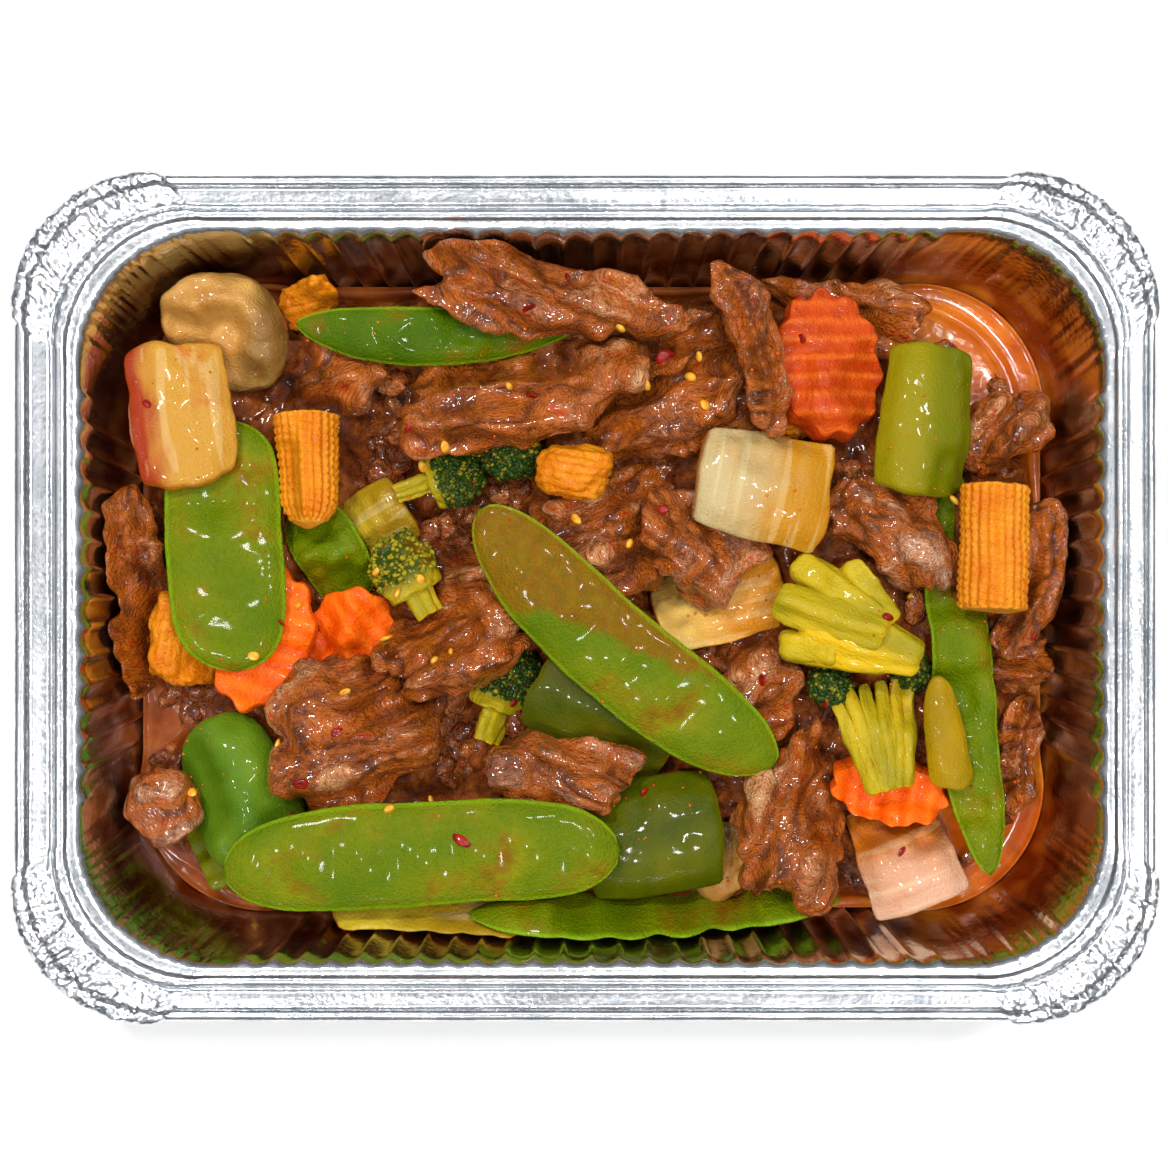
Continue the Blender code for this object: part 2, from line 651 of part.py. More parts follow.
    # Lower left: folded beef, carrots and pepper
    lay("beef_fold", slab(34, 23, 9, 37, fold=2.0, around=18), (-24, -6, 32), (4, -4, 38), beef)
    lay("beef_crumple", slab(38, 29, 10, 38, fold=2.5, around=20), (-45, -27, 31), (0, 0, 40), beef)
    lay("carrot_chip", crinkle_slice(9, 8, 6.0, 7), (-36, -27.5, 26), (10, 0, 20), carrot)
    lay("carrot_left", crinkle_slice(28, 19, 5.5, 10), (-62, -8, 27), (0, 8, 75), carrot)
    lay("carrot_bright", crinkle_slice(19, 16, 5, 9), (-46, -7, 26), (-6, 6, 40), carrot)
    lay("pepper_left", petal(30, 24, 4.0, 85, bow=2.5, taper=0.1), (-67, -37, 29), (0, 4, 112), pepper)
    lay("corn_block", chunk(19, 15, 12, 39, square=0.8), (-77, -8, 24), (0, 4, 80), corn)
    lay("beef_wall", strip(42, 10, 7, 12, 40), (-86, 1, 29), (0, 0, 92), beef)
    lay("pea_small", pod(22, 13, 4.5, bow=1.0, peas=2, blunt=4), (-50, 8, 26), (0, 0, -60), pea)
    lay("onion_chunk", petal(16, 15, 4, 40, bow=1.0), (-41.5, 14, 26), (0, 0, 30), onion)
    lay("pepper_sliver", petal(14, 7, 3, 30, cells=(3, 2)), (-73, -50, 24), (0, 8, 120), pepper)

    # Lower right: pods along the wall, florets, carrot, onion and beef
    lay("pepper_yellow", petal(22, 9, 3.5, 60, taper=0.1), (69, -26, 31), (0, 0, 98), pepper)
    lay("pea_right", pod(78, 11.5, 4.5, bow=2.0, peas=7), (74.5, -14, 28), (10, 0, 95), pea)
    lay("broccoli_strands", floret(26, 12, 19, 0.4, 42), (56.5, -24, 29), (0, 0, 100), broccoli)
    lay("carrot_tilted", crinkle_slice(23, 13, 5, 9), (59, -37, 29), (24, 0, -10), carrot)
    lay("beef_lower_right", slab(37, 21, 8, 43, fold=2.0, around=18), (40, -43, 30), (0, 0, 78), beef)
    lay("onion_pink", petal(22, 20, 3.5, 50, bow=1.5, taper=0.1), (62, -50, 27), (0, 0, 110), onion)
    lay("beef_bend", strip(32, 9, 7, 60, 44), (87, 3, 29), (0, 0, 76), beef)
    lay("beef_loops", slab(16, 12, 7, 45, fold=1.0), (84, -12, 25), (0, 0, 20), beef)
    lay("beef_arc", strip(24, 9, 6, 50, 46), (84, -30, 19.5), (0, 0, -96), beef)
    lay("beef_pink", slab(30, 18, 8, 47, fold=1.5), (-5, -34, 29), (0, 0, -8), beef)
    lay("pepper_block", petal(27, 26, 4.5, 70, bow=2.0), (13, -46, 29), (0, 0, 8), pepper)
    lay("pepper_middle", petal(30, 24, 4.5, 60, bow=1.0), (4, -22, 29), (0, 0, -30), pepper)
    lay("broccoli_floret", floret(19, 6, 15, 0.65, 48), (-16, -19, 26), (0, 0, 70), broccoli)
    lay("beef_under", slab(26, 20, 8, 50, fold=1.0), (32, -20, 26), (0, 0, 60), beef)
    lay("mushroom_right", chunk(18, 13, 9, 49), (27, -51, 24), (0, 0, 80), mushroom)
    lay("pea_edge", pod(71, 13, 5, bow=-3.0, peas=7), (13.5, -59.5, 29), (-60, 0, 2), pea)
    lay("onion_bottom", petal(37, 14, 4, 35, bow=1.0), (-30, -58, 23.5), (-30, 0, -2), onion)

    build_sauce(heap, material("sauce", (0.45, 0.08, 0.008), 0.12))


def main():
    """Build the whole meal."""
    clear_scene()
    group = collection("foil tray meal")
    build_tray(group)
    build_food(group)


main()
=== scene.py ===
"""Looks of the foil tray meal: foil, sauce and every piece of food as fine meshes.

Each piece is made in its own axes in millimetres, placed by the same sizes, places and turns as
its solid, bent down like that solid where others lie on it, and then made into a mesh in metres.
"""

import math

import bmesh
import bpy
import numpy as np
from mathutils import Euler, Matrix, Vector


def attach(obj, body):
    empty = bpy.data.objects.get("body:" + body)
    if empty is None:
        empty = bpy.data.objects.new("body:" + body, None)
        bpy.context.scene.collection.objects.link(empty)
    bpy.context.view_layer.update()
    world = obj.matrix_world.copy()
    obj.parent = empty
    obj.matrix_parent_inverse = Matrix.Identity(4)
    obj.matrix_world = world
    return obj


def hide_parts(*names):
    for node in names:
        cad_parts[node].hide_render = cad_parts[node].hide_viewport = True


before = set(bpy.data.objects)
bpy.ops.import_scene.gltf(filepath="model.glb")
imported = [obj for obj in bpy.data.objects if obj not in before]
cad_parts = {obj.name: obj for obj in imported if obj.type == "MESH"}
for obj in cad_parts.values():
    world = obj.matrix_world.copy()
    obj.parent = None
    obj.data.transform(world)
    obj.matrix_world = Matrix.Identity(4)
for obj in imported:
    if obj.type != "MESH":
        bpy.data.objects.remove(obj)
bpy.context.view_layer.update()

MM = 0.001

# Tray, in millimetres, as in the solids
TRAY_HEIGHT = 44.0
SIDE_X = 106.2
SIDE_Y = 78.7
LOBE = 1.3
OPENING_X = 95.6
OPENING_Y = 68.4
OPENING_SHIFT = 1.3
CORNER_RADIUS = 25.0
LOBE_RADIUS = 27.0
FOIL = 0.4
WALL_TAPER = math.tan(math.radians(14.5))
WALL_TOP = TRAY_HEIGHT - 3.0
WALL_FOOT = 3.0
FLOOR_INSET = 2.5
FLUTES_X = 26
FLUTES_Y = 16
FLUTE_DEPTH = 1.0
SAUCE_LEVEL = 16.0
POOLS = ((80.0, 50.0), (83.0, -50.0))

# Camera: straight above, at the photograph's framing
CAMERA_HEIGHT = 495.0
CAMERA_SHIFT_Y = 2.4
FRAME_WIDTH = 216.9
SENSOR = 36.0

# Lights: place in metres, size and power, and the lesser lamps' places
LIGHT_HEIGHT = 0.9
KEY = (-0.3, 0.42, LIGHT_HEIGHT)
KEY_SIZE, KEY_POWER = 0.09, 3.6
LAMPS = ((0.42, 0.2), (-0.42, -0.2), (0.15, -0.45), (0.222, 0.14), (-0.2, -0.32), (0.38, -0.2),
         (0.08, 0.42))
LAMP_SIZE, LAMP_POWER = 0.05, 1.15
# Brightness of the room from the horizon up to straight overhead
ROOM = ((0.0, 0.08), (0.45, 0.32), (0.88, 0.66), (0.97, 1.1), (0.987, 1.1), (0.995, 0.35))
ROOM_STRENGTH = 0.95

# Rings of each form and points round them
SLAB_MESH = (58, 112)
STRIP_MESH = (92, 48)
POD_MESH = (90, 48)
CORN_RINGS, CORN_ROWS, ROW_POINTS = 92, 21, 6
CARROT_MESH = (46, 120)
CHUNK_MESH = (48, 80)
PETAL_MESH = (54, 100)
FLORET_MESH = (72, 64)
LIMB_MESH = (48, 36)
HEAD_MESH = (30, 40)
CRUMB_MESH = (12, 12)
SAUCE_MESH = (100, 360)
CORNER_STEPS = 104
FLUTE_STEPS = 6
WALL_LEVELS = 12

# Relief, in millimetres
KERNEL_LENGTH = 1.55
KERNEL_WIDTH = 1.6
CARROT_RIDGE_PITCH = 3.6
CARROT_RIDGE = 0.28
SCALLOP = 0.055

# How far food and sauce stay clear of the walls
WALL_ROUNDING = 0.4
FOOD_CLEAR = 0.3
CRUMB_CLEAR = 3.0
RIB_CLEAR = FLUTE_DEPTH - 0.3

# Sauce: how it is heaped, how high its clots stand, and how far the pools are clear of it
HEAP_SPREAD = 5.0
HEAP_FROM = 3.5
HEAP_SHARE = 0.78
CLOTS = 5.0
MENISCUS = 0.9
POOL_CLEAR = (17.0, 27.0)
# How far from the open pools the painted shade on the sauce begins and is full
POOL_SHADE = (24.0, 50.0)
SAUCE_FLOOR = 1.2

# Scattered bits: how many are tried, and how many are kept
TRIES = 6000
SPECKS = 380
CRUMBS = 90
BUDS = {"broccoli_upper": 300, "broccoli_dark": 520, "broccoli_crumb": 220, "broccoli_floret": 640,
        "broccoli_strands": 420}


class Noise:
    """Smooth gradient noise in three dimensions, the same each run."""

    def __init__(self, seed):
        draw = np.random.default_rng(seed)
        self.order = draw.permutation(256)
        self.slopes = draw.normal(size=(256, 3))
        self.slopes /= np.linalg.norm(self.slopes, axis=1)[:, None]

    def __call__(self, points):
        """About -1 to 1 at each row of points, with features about one unit across."""
        cell = np.floor(points).astype(int)
        inside = points - cell
        fade = inside ** 3 * (inside * (inside * 6.0 - 15.0) + 10.0)
        total = np.zeros(len(points))
        for corner in np.ndindex(2, 2, 2):
            at = (cell + corner) & 255
            key = self.order[(self.order[(self.order[at[:, 0]] + at[:, 1]) & 255] + at[:, 2]) & 255]
            weight = np.prod(np.where(corner, fade, 1.0 - fade), axis=1)
            total += weight * np.einsum("ij,ij->i", self.slopes[key], inside - corner)
        return 1.5 * total

    def layers(self, points, count, gain=0.5):
        """Several octaves added together."""
        total, size = np.zeros(len(points)), 1.0
        for octave in range(count):
            total += size * self(points * 2.0 ** octave + 17.3 * octave)
            size *= gain
        return total

    def ridges(self, points, count, gain=0.5):
        """Sharp creases between rounded ridges, 0 to about 1."""
        total, size, whole = np.zeros(len(points)), 1.0, 0.0
        for octave in range(count):
            total += size * np.abs(self(points * 2.0 ** octave + 9.1 * octave))
            whole += size
            size *= gain
        return total / whole


def smoothstep(low, high, value):
    """0 below low, 1 above high, smooth between."""
    share = np.clip((value - low) / (high - low), 0.0, 1.0)
    return share * share * (3.0 - 2.0 * share)


def column(*parts):
    """Stack coordinates into rows of points."""
    size = np.broadcast_shapes(*[np.shape(part) for part in parts])
    return np.stack([np.broadcast_to(part, size).ravel() for part in parts], axis=1).astype(float)


# Node materials
class Graph:
    """A short way to write a material's nodes."""

    def __init__(self, name):
        self.material = bpy.data.materials.new(name)
        self.material.use_nodes = True
        self.tree = self.material.node_tree
        self.shader = self.tree.nodes["Principled BSDF"]

    def node(self, kind, settings=None, **inputs):
        """Add a node; settings are its properties and inputs its sockets, by name."""
        made = self.tree.nodes.new(kind)
        for key, value in (settings or {}).items():
            setattr(made, key, value)
        for key, value in inputs.items():
            self.set(made.inputs[key.replace("_", " ")], value)
        return made

    def set(self, socket, value):
        """Link an output to a socket, or set the socket's own value."""
        if isinstance(value, bpy.types.NodeSocket):
            self.tree.links.new(value, socket)
        else:
            socket.default_value = value

    def grain(self, scale=(1.0, 1.0, 1.0)):
        """The piece's own axes, in millimetres, stretched by scale."""
        place = self.node("ShaderNodeAttribute", {"attribute_name": "grain"})
        return self.node("ShaderNodeMapping", None, Vector=place.outputs["Vector"],
                         Scale=scale).outputs[0]

    def mark(self, name):
        """A named share from 0 to 1 that the mesh carries."""
        return self.node("ShaderNodeAttribute", {"attribute_name": name}).outputs["Fac"]

    def noise(self, scale, detail=4.0, rough=0.5, stretch=(1.0, 1.0, 1.0), twist=0.0):
        """A noise value in the piece's own axes, scale in waves a millimetre."""
        return self.node("ShaderNodeTexNoise", None, Vector=self.grain(stretch), Scale=scale,
                         Detail=detail, Roughness=rough, Distortion=twist).outputs["Fac"]

    def cells(self, scale):
        """Distance to the nearest of scattered cells."""
        return self.node("ShaderNodeTexVoronoi", None, Vector=self.grain(),
                         Scale=scale).outputs["Distance"]

    def ramp(self, value, *stops):
        """Hex colours or greys at stops from 0 to 1."""
        made = self.node("ShaderNodeValToRGB", None, Fac=value)
        band = made.color_ramp
        while len(band.elements) < len(stops):
            band.elements.new(0.5)
        for element, (position, tone) in zip(band.elements, stops):
            element.position = position
            element.color = srgb(tone) if isinstance(tone, str) else (tone, tone, tone, 1.0)
        return made.outputs["Color"]

    def step(self, value, low, high):
        """0 to 1 as value goes from low to high."""
        return self.node("ShaderNodeMapRange", {"interpolation_type": "SMOOTHSTEP"}, Value=value,
                         From_Min=low, From_Max=high).outputs["Result"]

    def mix(self, share, first, second):
        """Mix two colours."""
        made = self.node("ShaderNodeMix", {"data_type": "RGBA"})
        self.set(made.inputs[0], share)
        self.set(made.inputs[6], first)
        self.set(made.inputs[7], second)
        return made.outputs[2]

    def tint(self, under, share, code, strong=1.0):
        """Lay a hex colour over another colour, by a share and a strength."""
        return self.mix(share if strong == 1.0 else self.times(share, strong), under, srgb(code))

    def maths(self, operation, first, second):
        """One sum on two values."""
        made = self.node("ShaderNodeMath", {"operation": operation})
        self.set(made.inputs[0], first)
        self.set(made.inputs[1], second)
        return made.outputs[0]

    def times(self, first, second):
        """The product of two values."""
        return self.maths("MULTIPLY", first, second)

    def blend(self, *parts):
        """Values added together, each times its weight."""
        total = None
        for value, weight in parts:
            part = value if weight == 1.0 else self.times(value, weight)
            total = part if total is None else self.maths("ADD", total, part)
        return total

    def bump(self, height, distance, under=None):
        """A bump of a height in millimetres."""
        made = self.node("ShaderNodeBump", None, Height=height, Distance=distance * MM,
                         Strength=1.0)
        if under is not None:
            self.set(made.inputs["Normal"], under)
        return made.outputs["Normal"]

    def finish(self, **sockets):
        """Set the shader's sockets and give the material."""
        for key, value in sockets.items():
            self.set(self.shader.inputs[key.replace("_", " ")], value)
        return self.material


def srgb(code):
    """A linear colour from the hex colour seen in the photograph."""
    parts = [int(code[index:index + 2], 16) / 255.0 for index in (0, 2, 4)]
    shares = tuple(c / 12.92 if c <= 0.04045 else ((c + 0.055) / 1.055) ** 2.4 for c in parts)
    return shares + (1.0,)


def with_sauce(graph, colour, cover, patch, thin, thick, strong=0.85):
    """Lay a film of sauce over a colour, most in hollows: cover 0 is none, 1 is all over."""
    spots = graph.noise(patch, detail=3.0, rough=0.66)
    saucy = graph.blend((graph.mark("saucy"), 0.4), (spots, 1.0))
    film = graph.step(saucy, 0.86 - 0.6 * cover, 1.1 - 0.6 * cover)
    tint = graph.mix(graph.noise(0.5, detail=0.0), srgb(thin), srgb(thick))
    return graph.mix(graph.times(film, strong), colour, tint)


def wet_skin(graph, grain=0.2, under=None):
    """The uneven surface of a wet piece, so that it glints in many small spots."""
    return graph.bump(graph.noise(1.9, detail=1.0, rough=0.7), 2.2 * grain, under=under)


def food_finish(graph, colour, normal, patch, low, high, coat=0.18, gloss=0.1, glow=0.0):
    """The wet look that all the food has: weak broad gloss and a sharp thin coat."""
    rough = graph.ramp(patch, (0.35, low), (0.7, high))
    return graph.finish(Base_Color=colour, Roughness=rough, Normal=normal, Specular_IOR_Level=gloss,
                        Coat_Weight=coat, Coat_Roughness=0.07, Subsurface_Weight=glow,
                        Subsurface_Radius=(0.004, 0.0028, 0.0012), Subsurface_Scale=0.5)


def foil_material(name="foil", film_and_shade_inside=True):
    """Bright rolled aluminium with fine scratches and a soft crumple, browned inside partly by a
    sauce film and partly as a painted reflection of the shaded food.
    """
    graph = Graph(name)
    fine = graph.noise(1.6, detail=3.0, rough=0.6)
    coarse = graph.noise(0.12, detail=1.0)
    crumple = graph.cells(0.8)
    tone = graph.ramp(coarse, (0.3, "C0C6CB"), (0.7, "E6E9EC"))
    rough = graph.ramp(fine, (0.35, 0.1), (0.7, 0.24))
    normal = graph.bump(fine, 0.05)
    normal = graph.bump(graph.times(crumple, graph.mark("crumple")), 0.35, under=normal)
    # Inside, walls and floor turn brown: partly a film of sauce, partly a painted reflection of the
    # shaded food.
    if film_and_shade_inside:
        film = graph.times(graph.mark("saucy"), graph.step(coarse, 0.3, 0.6))
        tone = graph.tint(tone, film, "80583C")
    return graph.finish(Base_Color=tone, Metallic=1.0, Roughness=rough, Normal=normal)


def sauce_material():
    """Red-brown sauce, clear and glossy in the pool, thick and grainy where it is heaped, darker
    away from the open pools by painted shade.
    """
    graph = Graph("sauce")
    patch = graph.noise(0.07, detail=3.0, rough=0.6, twist=0.5)
    pool = graph.ramp(patch, (0.3, "A04004"), (0.5, "BE580A"), (0.72, "D47C20"))
    # Darker away from the open pools: painted shade.
    pool = graph.mix(graph.mark("dark"), pool, graph.ramp(patch, (0.35, "76320A"), (0.7, "A4561A")))
    specks = graph.step(graph.cells(0.9), 0.16, 0.08)
    pool = graph.tint(pool, specks, "8A2804", 0.5)
    clots = graph.noise(0.22, detail=4.0, rough=0.65)
    heap = graph.ramp(clots, (0.32, "3C1606"), (0.5, "78360E"), (0.68, "AE6028"))
    shore = graph.ramp(graph.mark("heap"), (0.0, 0.0), (0.2, 0.8), (0.8, 0.0))
    colour = graph.tint(graph.mix(graph.mark("heap"), pool, heap), shore, "6A2808")
    normal = graph.bump(graph.noise(0.35, detail=1.0), 0.3)
    rough_heap = graph.times(graph.noise(0.9, detail=4.0, rough=0.7), graph.mark("heap"))
    normal = graph.bump(rough_heap, 1.4, under=normal)
    return graph.finish(Base_Color=colour, Roughness=0.16, Normal=normal, Specular_IOR_Level=0.2,
                        Coat_Weight=0.3, Coat_Roughness=0.05, IOR=1.4)


def beef_material(name="beef", dark="622E12", middle="A65C2C", light="D29A68"):
    """Stir-fried beef under a patchy wet film of sauce, pale on its crests by painted highlight and
    dark in its folds by painted shade.
    """
    graph = Graph(name)
    fibre = graph.noise(0.8, detail=2.0, rough=0.75, stretch=(0.75, 1.0, 1.0))
    patch = graph.noise(0.1, detail=0.0)
    # The crest mark pales the tone: painted highlight.
    mixed = graph.blend((fibre, 0.42), (patch, 0.36), (graph.mark("edge"), 0.15))
    tone = graph.ramp(mixed, (0.33, dark), (0.46, middle), (0.6, light))
    colour = with_sauce(graph, tone, 0.64, 0.12, "C4681C", "92420C", 0.88)
    bits = graph.noise(0.7, detail=1.0)
    colour = graph.tint(colour, graph.step(bits, 0.63, 0.72), "B02E0A", 0.6)
    colour = graph.tint(colour, graph.step(bits, 0.38, 0.28), "42200C", 0.5)
    # Darker in the creases: painted shade.
    colour = graph.tint(colour, graph.mark("fold"), "3A1606", 0.7)
    normal = wet_skin(graph, 0.5, under=graph.bump(fibre, 0.28))
    return food_finish(graph, colour, normal, patch, 0.2, 0.4, coat=0.8)


def pea_material(name="snow_pea", deep="566A02", middle="6E7603", bright="868208"):
    """Snow pea skin: green with fine veins, a paler seam and olive marks of sauce."""
    graph = Graph(name)
    patch = graph.noise(0.09, detail=2.0)
    tone = graph.ramp(patch, (0.3, deep), (0.55, middle), (0.75, bright))
    veins = graph.noise(1.1, detail=1.0, stretch=(0.35, 1.0, 1.0))
    tone = graph.tint(tone, veins, "447002", 0.3)
    colour = with_sauce(graph, tone, 0.56, 0.1, "8A5E06", "743E06", 0.85)
    mottle = graph.step(graph.noise(0.6, detail=2.0, rough=0.7), 0.4, 0.7)
    colour = graph.tint(colour, mottle, "4A6402", 0.3)
    colour = graph.tint(colour, graph.mark("edge"), "80A814", 0.6)
    return food_finish(graph, colour, wet_skin(graph, 0.2), patch, 0.2, 0.4, coat=0.12, gloss=0.05)


def pepper_material(name, deep, bright, flesh, other=None):
    """Green pepper: glossy skin, paler flesh on its cut edges, a second face of its own colour."""
    graph = Graph(name)
    patch = graph.noise(0.08, detail=3.0)
    tone = graph.ramp(patch, (0.3, deep), (0.7, bright))
    tone = graph.tint(tone, graph.mark("dark"), other or deep)
    pores = graph.noise(1.4, detail=1.0)
    tone = graph.tint(tone, pores, deep, 0.18)
    tone = graph.tint(tone, graph.mark("edge"), flesh)
    colour = with_sauce(graph, tone, 0.44, 0.09, "8E6C08", "7A4A08", 0.7)
    return food_finish(graph, colour, wet_skin(graph, 0.1), patch, 0.14, 0.32, coat=0.2, gloss=0.05)


def corn_material():
    """Baby corn: golden kernels, with painted shade of deeper orange in the grooves between their
    rows.
    """
    graph = Graph("baby_corn")
    patch = graph.noise(0.16, detail=3.0)
    tone = graph.ramp(patch, (0.3, "CC6C06"), (0.7, "E0901A"))
    # Deeper orange in the grooves: painted shade.
    tone = graph.tint(tone, graph.mark("fold"), "C8600A", 0.6)
    tone = graph.tint(tone, graph.mark("edge"), "EDA034", 0.6)
    colour = with_sauce(graph, tone, 0.5, 0.14, "D26A08", "B04A08", 0.65)
    return food_finish(graph, colour, wet_skin(graph, 0.16), patch, 0.3, 0.45)


def carrot_material(name="carrot", deep="EE5204", bright="FF6C0C", cover=0.3):
    """Crinkle-cut carrot: vivid orange with a fine wet grain, paler on its ridges by painted
    highlight and darker in the troughs and round its sides by painted shade.
    """
    graph = Graph(name)
    patch = graph.noise(0.2, detail=2.0)
    tone = graph.ramp(patch, (0.3, deep), (0.7, bright))
    # Paler on the ridges: painted highlight; darker in the troughs and round the sides: painted
    # shade.
    tone = graph.tint(tone, graph.mark("edge"), "F47C20", 0.35)
    tone = graph.tint(tone, graph.mark("fold"), "B83804", 0.3)
    colour = with_sauce(graph, tone, cover, 0.12, "B8400A", "8A2406")
    return food_finish(graph, colour, wet_skin(graph, 0.16), patch, 0.28, 0.5)


def onion_material(name, pale, warm, cover, along=True):
    """Onion: glassy, pale at one side and warmer at the other, with amber where sauce soaks in."""
    graph = Graph(name)
    fine = (0.05, 1.0, 1.0) if along else (1.0, 0.05, 0.3)
    veins = graph.noise(0.35, detail=2.0, stretch=fine)
    lines = graph.step(graph.noise(0.5, detail=1.0, stretch=fine), 0.55, 0.66)
    patch = graph.noise(0.08, detail=2.0)
    mixed = graph.blend((veins, 0.3), (patch, 0.35), (graph.mark("dark"), 0.4))
    tone = graph.ramp(mixed, (0.34, pale), (0.66, warm))
    tone = graph.tint(tone, lines, "E6D6A0", 0.2)
    tone = graph.tint(tone, graph.mark("edge"), "B8680C", 0.8)
    colour = with_sauce(graph, tone, cover, 0.12, "C8680C", "B03A0C", 0.75)
    normal = wet_skin(graph, 0.12, under=graph.bump(veins, 0.3))
    return food_finish(graph, colour, normal, patch, 0.14, 0.3, coat=0.3, glow=0.3)


def mushroom_material():
    """Mushroom: tan cap that darkens and wrinkles towards its gill side."""
    graph = Graph("mushroom")
    patch = graph.noise(0.13, detail=3.0, rough=0.6)
    tone = graph.ramp(patch, (0.3, "A8702C"), (0.7, "CE9C50"))
    tone = graph.tint(tone, graph.mark("dark"), "4A3416")
    colour = with_sauce(graph, tone, 0.36, 0.12, "B0702A", "94441A")
    return food_finish(graph, colour, wet_skin(graph, 0.14), patch, 0.2, 0.36, coat=0.6)


def broccoli_material(name, cover):
    """Broccoli stalk: yellow-green ribs, golden on its cut face and darker towards its head."""
    graph = Graph(name)
    patch = graph.noise(0.16, detail=2.0, stretch=(0.35, 1.0, 1.0))
    tone = graph.ramp(patch, (0.3, "8A7E0A"), (0.7, "C2A418"))
    tone = graph.tint(tone, graph.mark("dark"), "33470E")
    tone = graph.tint(tone, graph.mark("edge"), "D0A80E")
    colour = with_sauce(graph, tone, cover, 0.12, "B4780C", "8A4A0A")
    ribs = graph.noise(0.9, detail=2.0, stretch=(0.25, 1.0, 1.0))
    normal = wet_skin(graph, 0.1, under=graph.bump(ribs, 0.4))
    return food_finish(graph, colour, normal, patch, 0.28, 0.45)


def bud_material(name="buds", golden=0.7):
    """Broccoli buds: dark green beads, golden ones above a share, wet with sauce."""
    graph = Graph(name)
    patch = graph.noise(0.5, detail=3.0)
    tone = graph.ramp(patch, (golden - 0.32, "122806"), (golden - 0.16, "26400C"),
                      (golden, "9A8A14"))
    colour = with_sauce(graph, tone, 0.36, 0.2, "8A5A10", "5A2E08")
    return food_finish(graph, colour, graph.bump(patch, 0.1), patch, 0.4, 0.4, coat=0.25)


def speck_material(name, dark, light):
    """A seed, flake or crumb, wet with sauce."""
    graph = Graph(name)
    patch = graph.noise(0.8, detail=4.0)
    tone = graph.ramp(patch, (0.35, dark), (0.65, light))
    return food_finish(graph, tone, graph.bump(patch, 0.08), patch, 0.3, 0.3, coat=0.5)


def floor_material():
    """A plain pale surface with a faint unevenness."""
    graph = Graph("floor")
    place = graph.node("ShaderNodeTexCoord").outputs["Object"]
    faint = graph.node("ShaderNodeTexNoise", None, Vector=place, Scale=6.0,
                       Detail=3.0).outputs["Fac"]
    tone = graph.ramp(faint, (0.3, 0.93), (0.7, 0.96))
    return graph.finish(Base_Color=tone, Roughness=0.6)


# Meshes
class Form:
    """A piece in its own axes: points in rows, faces, and named marks from 0 to 1.

    The base is the same piece without relief: it shows how far the solid was bent.
    """

    def __init__(self, points, faces):
        self.points = points
        self.base = points.copy()
        self.faces = faces
        self.marks = {}
        self.grain = points.copy()

    def normals(self, points=None):
        """Outward unit normals at the points."""
        mesh = bpy.data.meshes.new("measure")
        mesh.from_pydata((self.points if points is None else points).tolist(), [], self.faces)
        normals = np.zeros(len(self.points) * 3, dtype=np.float32)
        mesh.vertex_normals.foreach_get("vector", normals)
        bpy.data.meshes.remove(mesh)
        return normals.reshape(-1, 3).astype(float)

    def swell(self, height):
        """Move each point out along its normal, but leave the base."""
        self.points = self.points + self.normals() * height[:, None]

    def reshape(self, change):
        """Change the points and the base alike."""
        self.points, self.base = change(self.points), change(self.base)


def ball_faces(around, rows):
    """Faces of rings of points, with a pole before the first ring and after the last."""
    faces = []
    last = rows * around + 1
    for i in range(around):
        j = (i + 1) % around
        faces.append((0, 1 + i, 1 + j))
        faces.append((last, last - around + j, last - around + i))
    for row in range(rows - 1):
        base = 1 + row * around
        for i in range(around):
            j = (i + 1) % around
            faces.append((base + i, base + around + i, base + around + j, base + j))
    return faces


def ball(rings, around, place):
    """A closed form from place(angle, share), share 0 at the first pole and 1 at the last."""
    angle = np.tile(np.linspace(0.0, 2 * math.pi, around, endpoint=False), rings)
    share = np.repeat(np.arange(1, rings + 1) / (rings + 1.0), around)
    body = place(angle, share)
    ends = place(np.zeros(2), np.array([0.0, 1.0]))
    points = np.vstack([ends[:1], body, ends[1:]])
    form = Form(points, ball_faces(around, rings))
    form.angle = np.concatenate([[0.0], angle, [0.0]])
    form.share = np.concatenate([[0.0], share, [1.0]])
    return form


def rounded_profile(corners, passes=2):
    """Cut a profile's corners so that it becomes a smooth curve, and give a reader of it."""
    line = np.array(corners, dtype=float)
    for step in range(passes):
        first, second = line[:-1], line[1:]
        cut = np.empty((2 * len(first), 2))
        cut[0::2] = 0.75 * first + 0.25 * second
        cut[1::2] = 0.25 * first + 0.75 * second
        line = np.vstack([line[:1], cut, line[-1:]])
    length = np.concatenate([[0.0], np.cumsum(np.hypot(*np.diff(line, axis=0).T))])
    length /= length[-1]

    def read(share):
        return np.interp(share, length, line[:, 0]), np.interp(share, length, line[:, 1])

    return read


def fibre_waves(seed):
    """The seeded wave that the solids of beef have."""
    draw = np.random.default_rng(seed)
    along = draw.uniform(0.15, 0.4, 4)
    over = draw.uniform(0.45, 1.0, 4)
    phase = draw.uniform(0.0, 2 * math.pi, 4)

    def wave(x, y):
        return np.mean([np.sin(a * x + b * y + p) for a, b, p in zip(along, over, phase)],
                       axis=0) * 1.6

    return wave


def bend_along(x, y, degrees, length):
    """Bend a straight piece in its plane so that its ends turn by degrees in all."""
    if abs(degrees) < 1.0:
        return x, y
    radius = length / math.radians(degrees)
    angle = x / radius
    return (radius + y) * np.sin(angle), radius - (radius + y) * np.cos(angle)


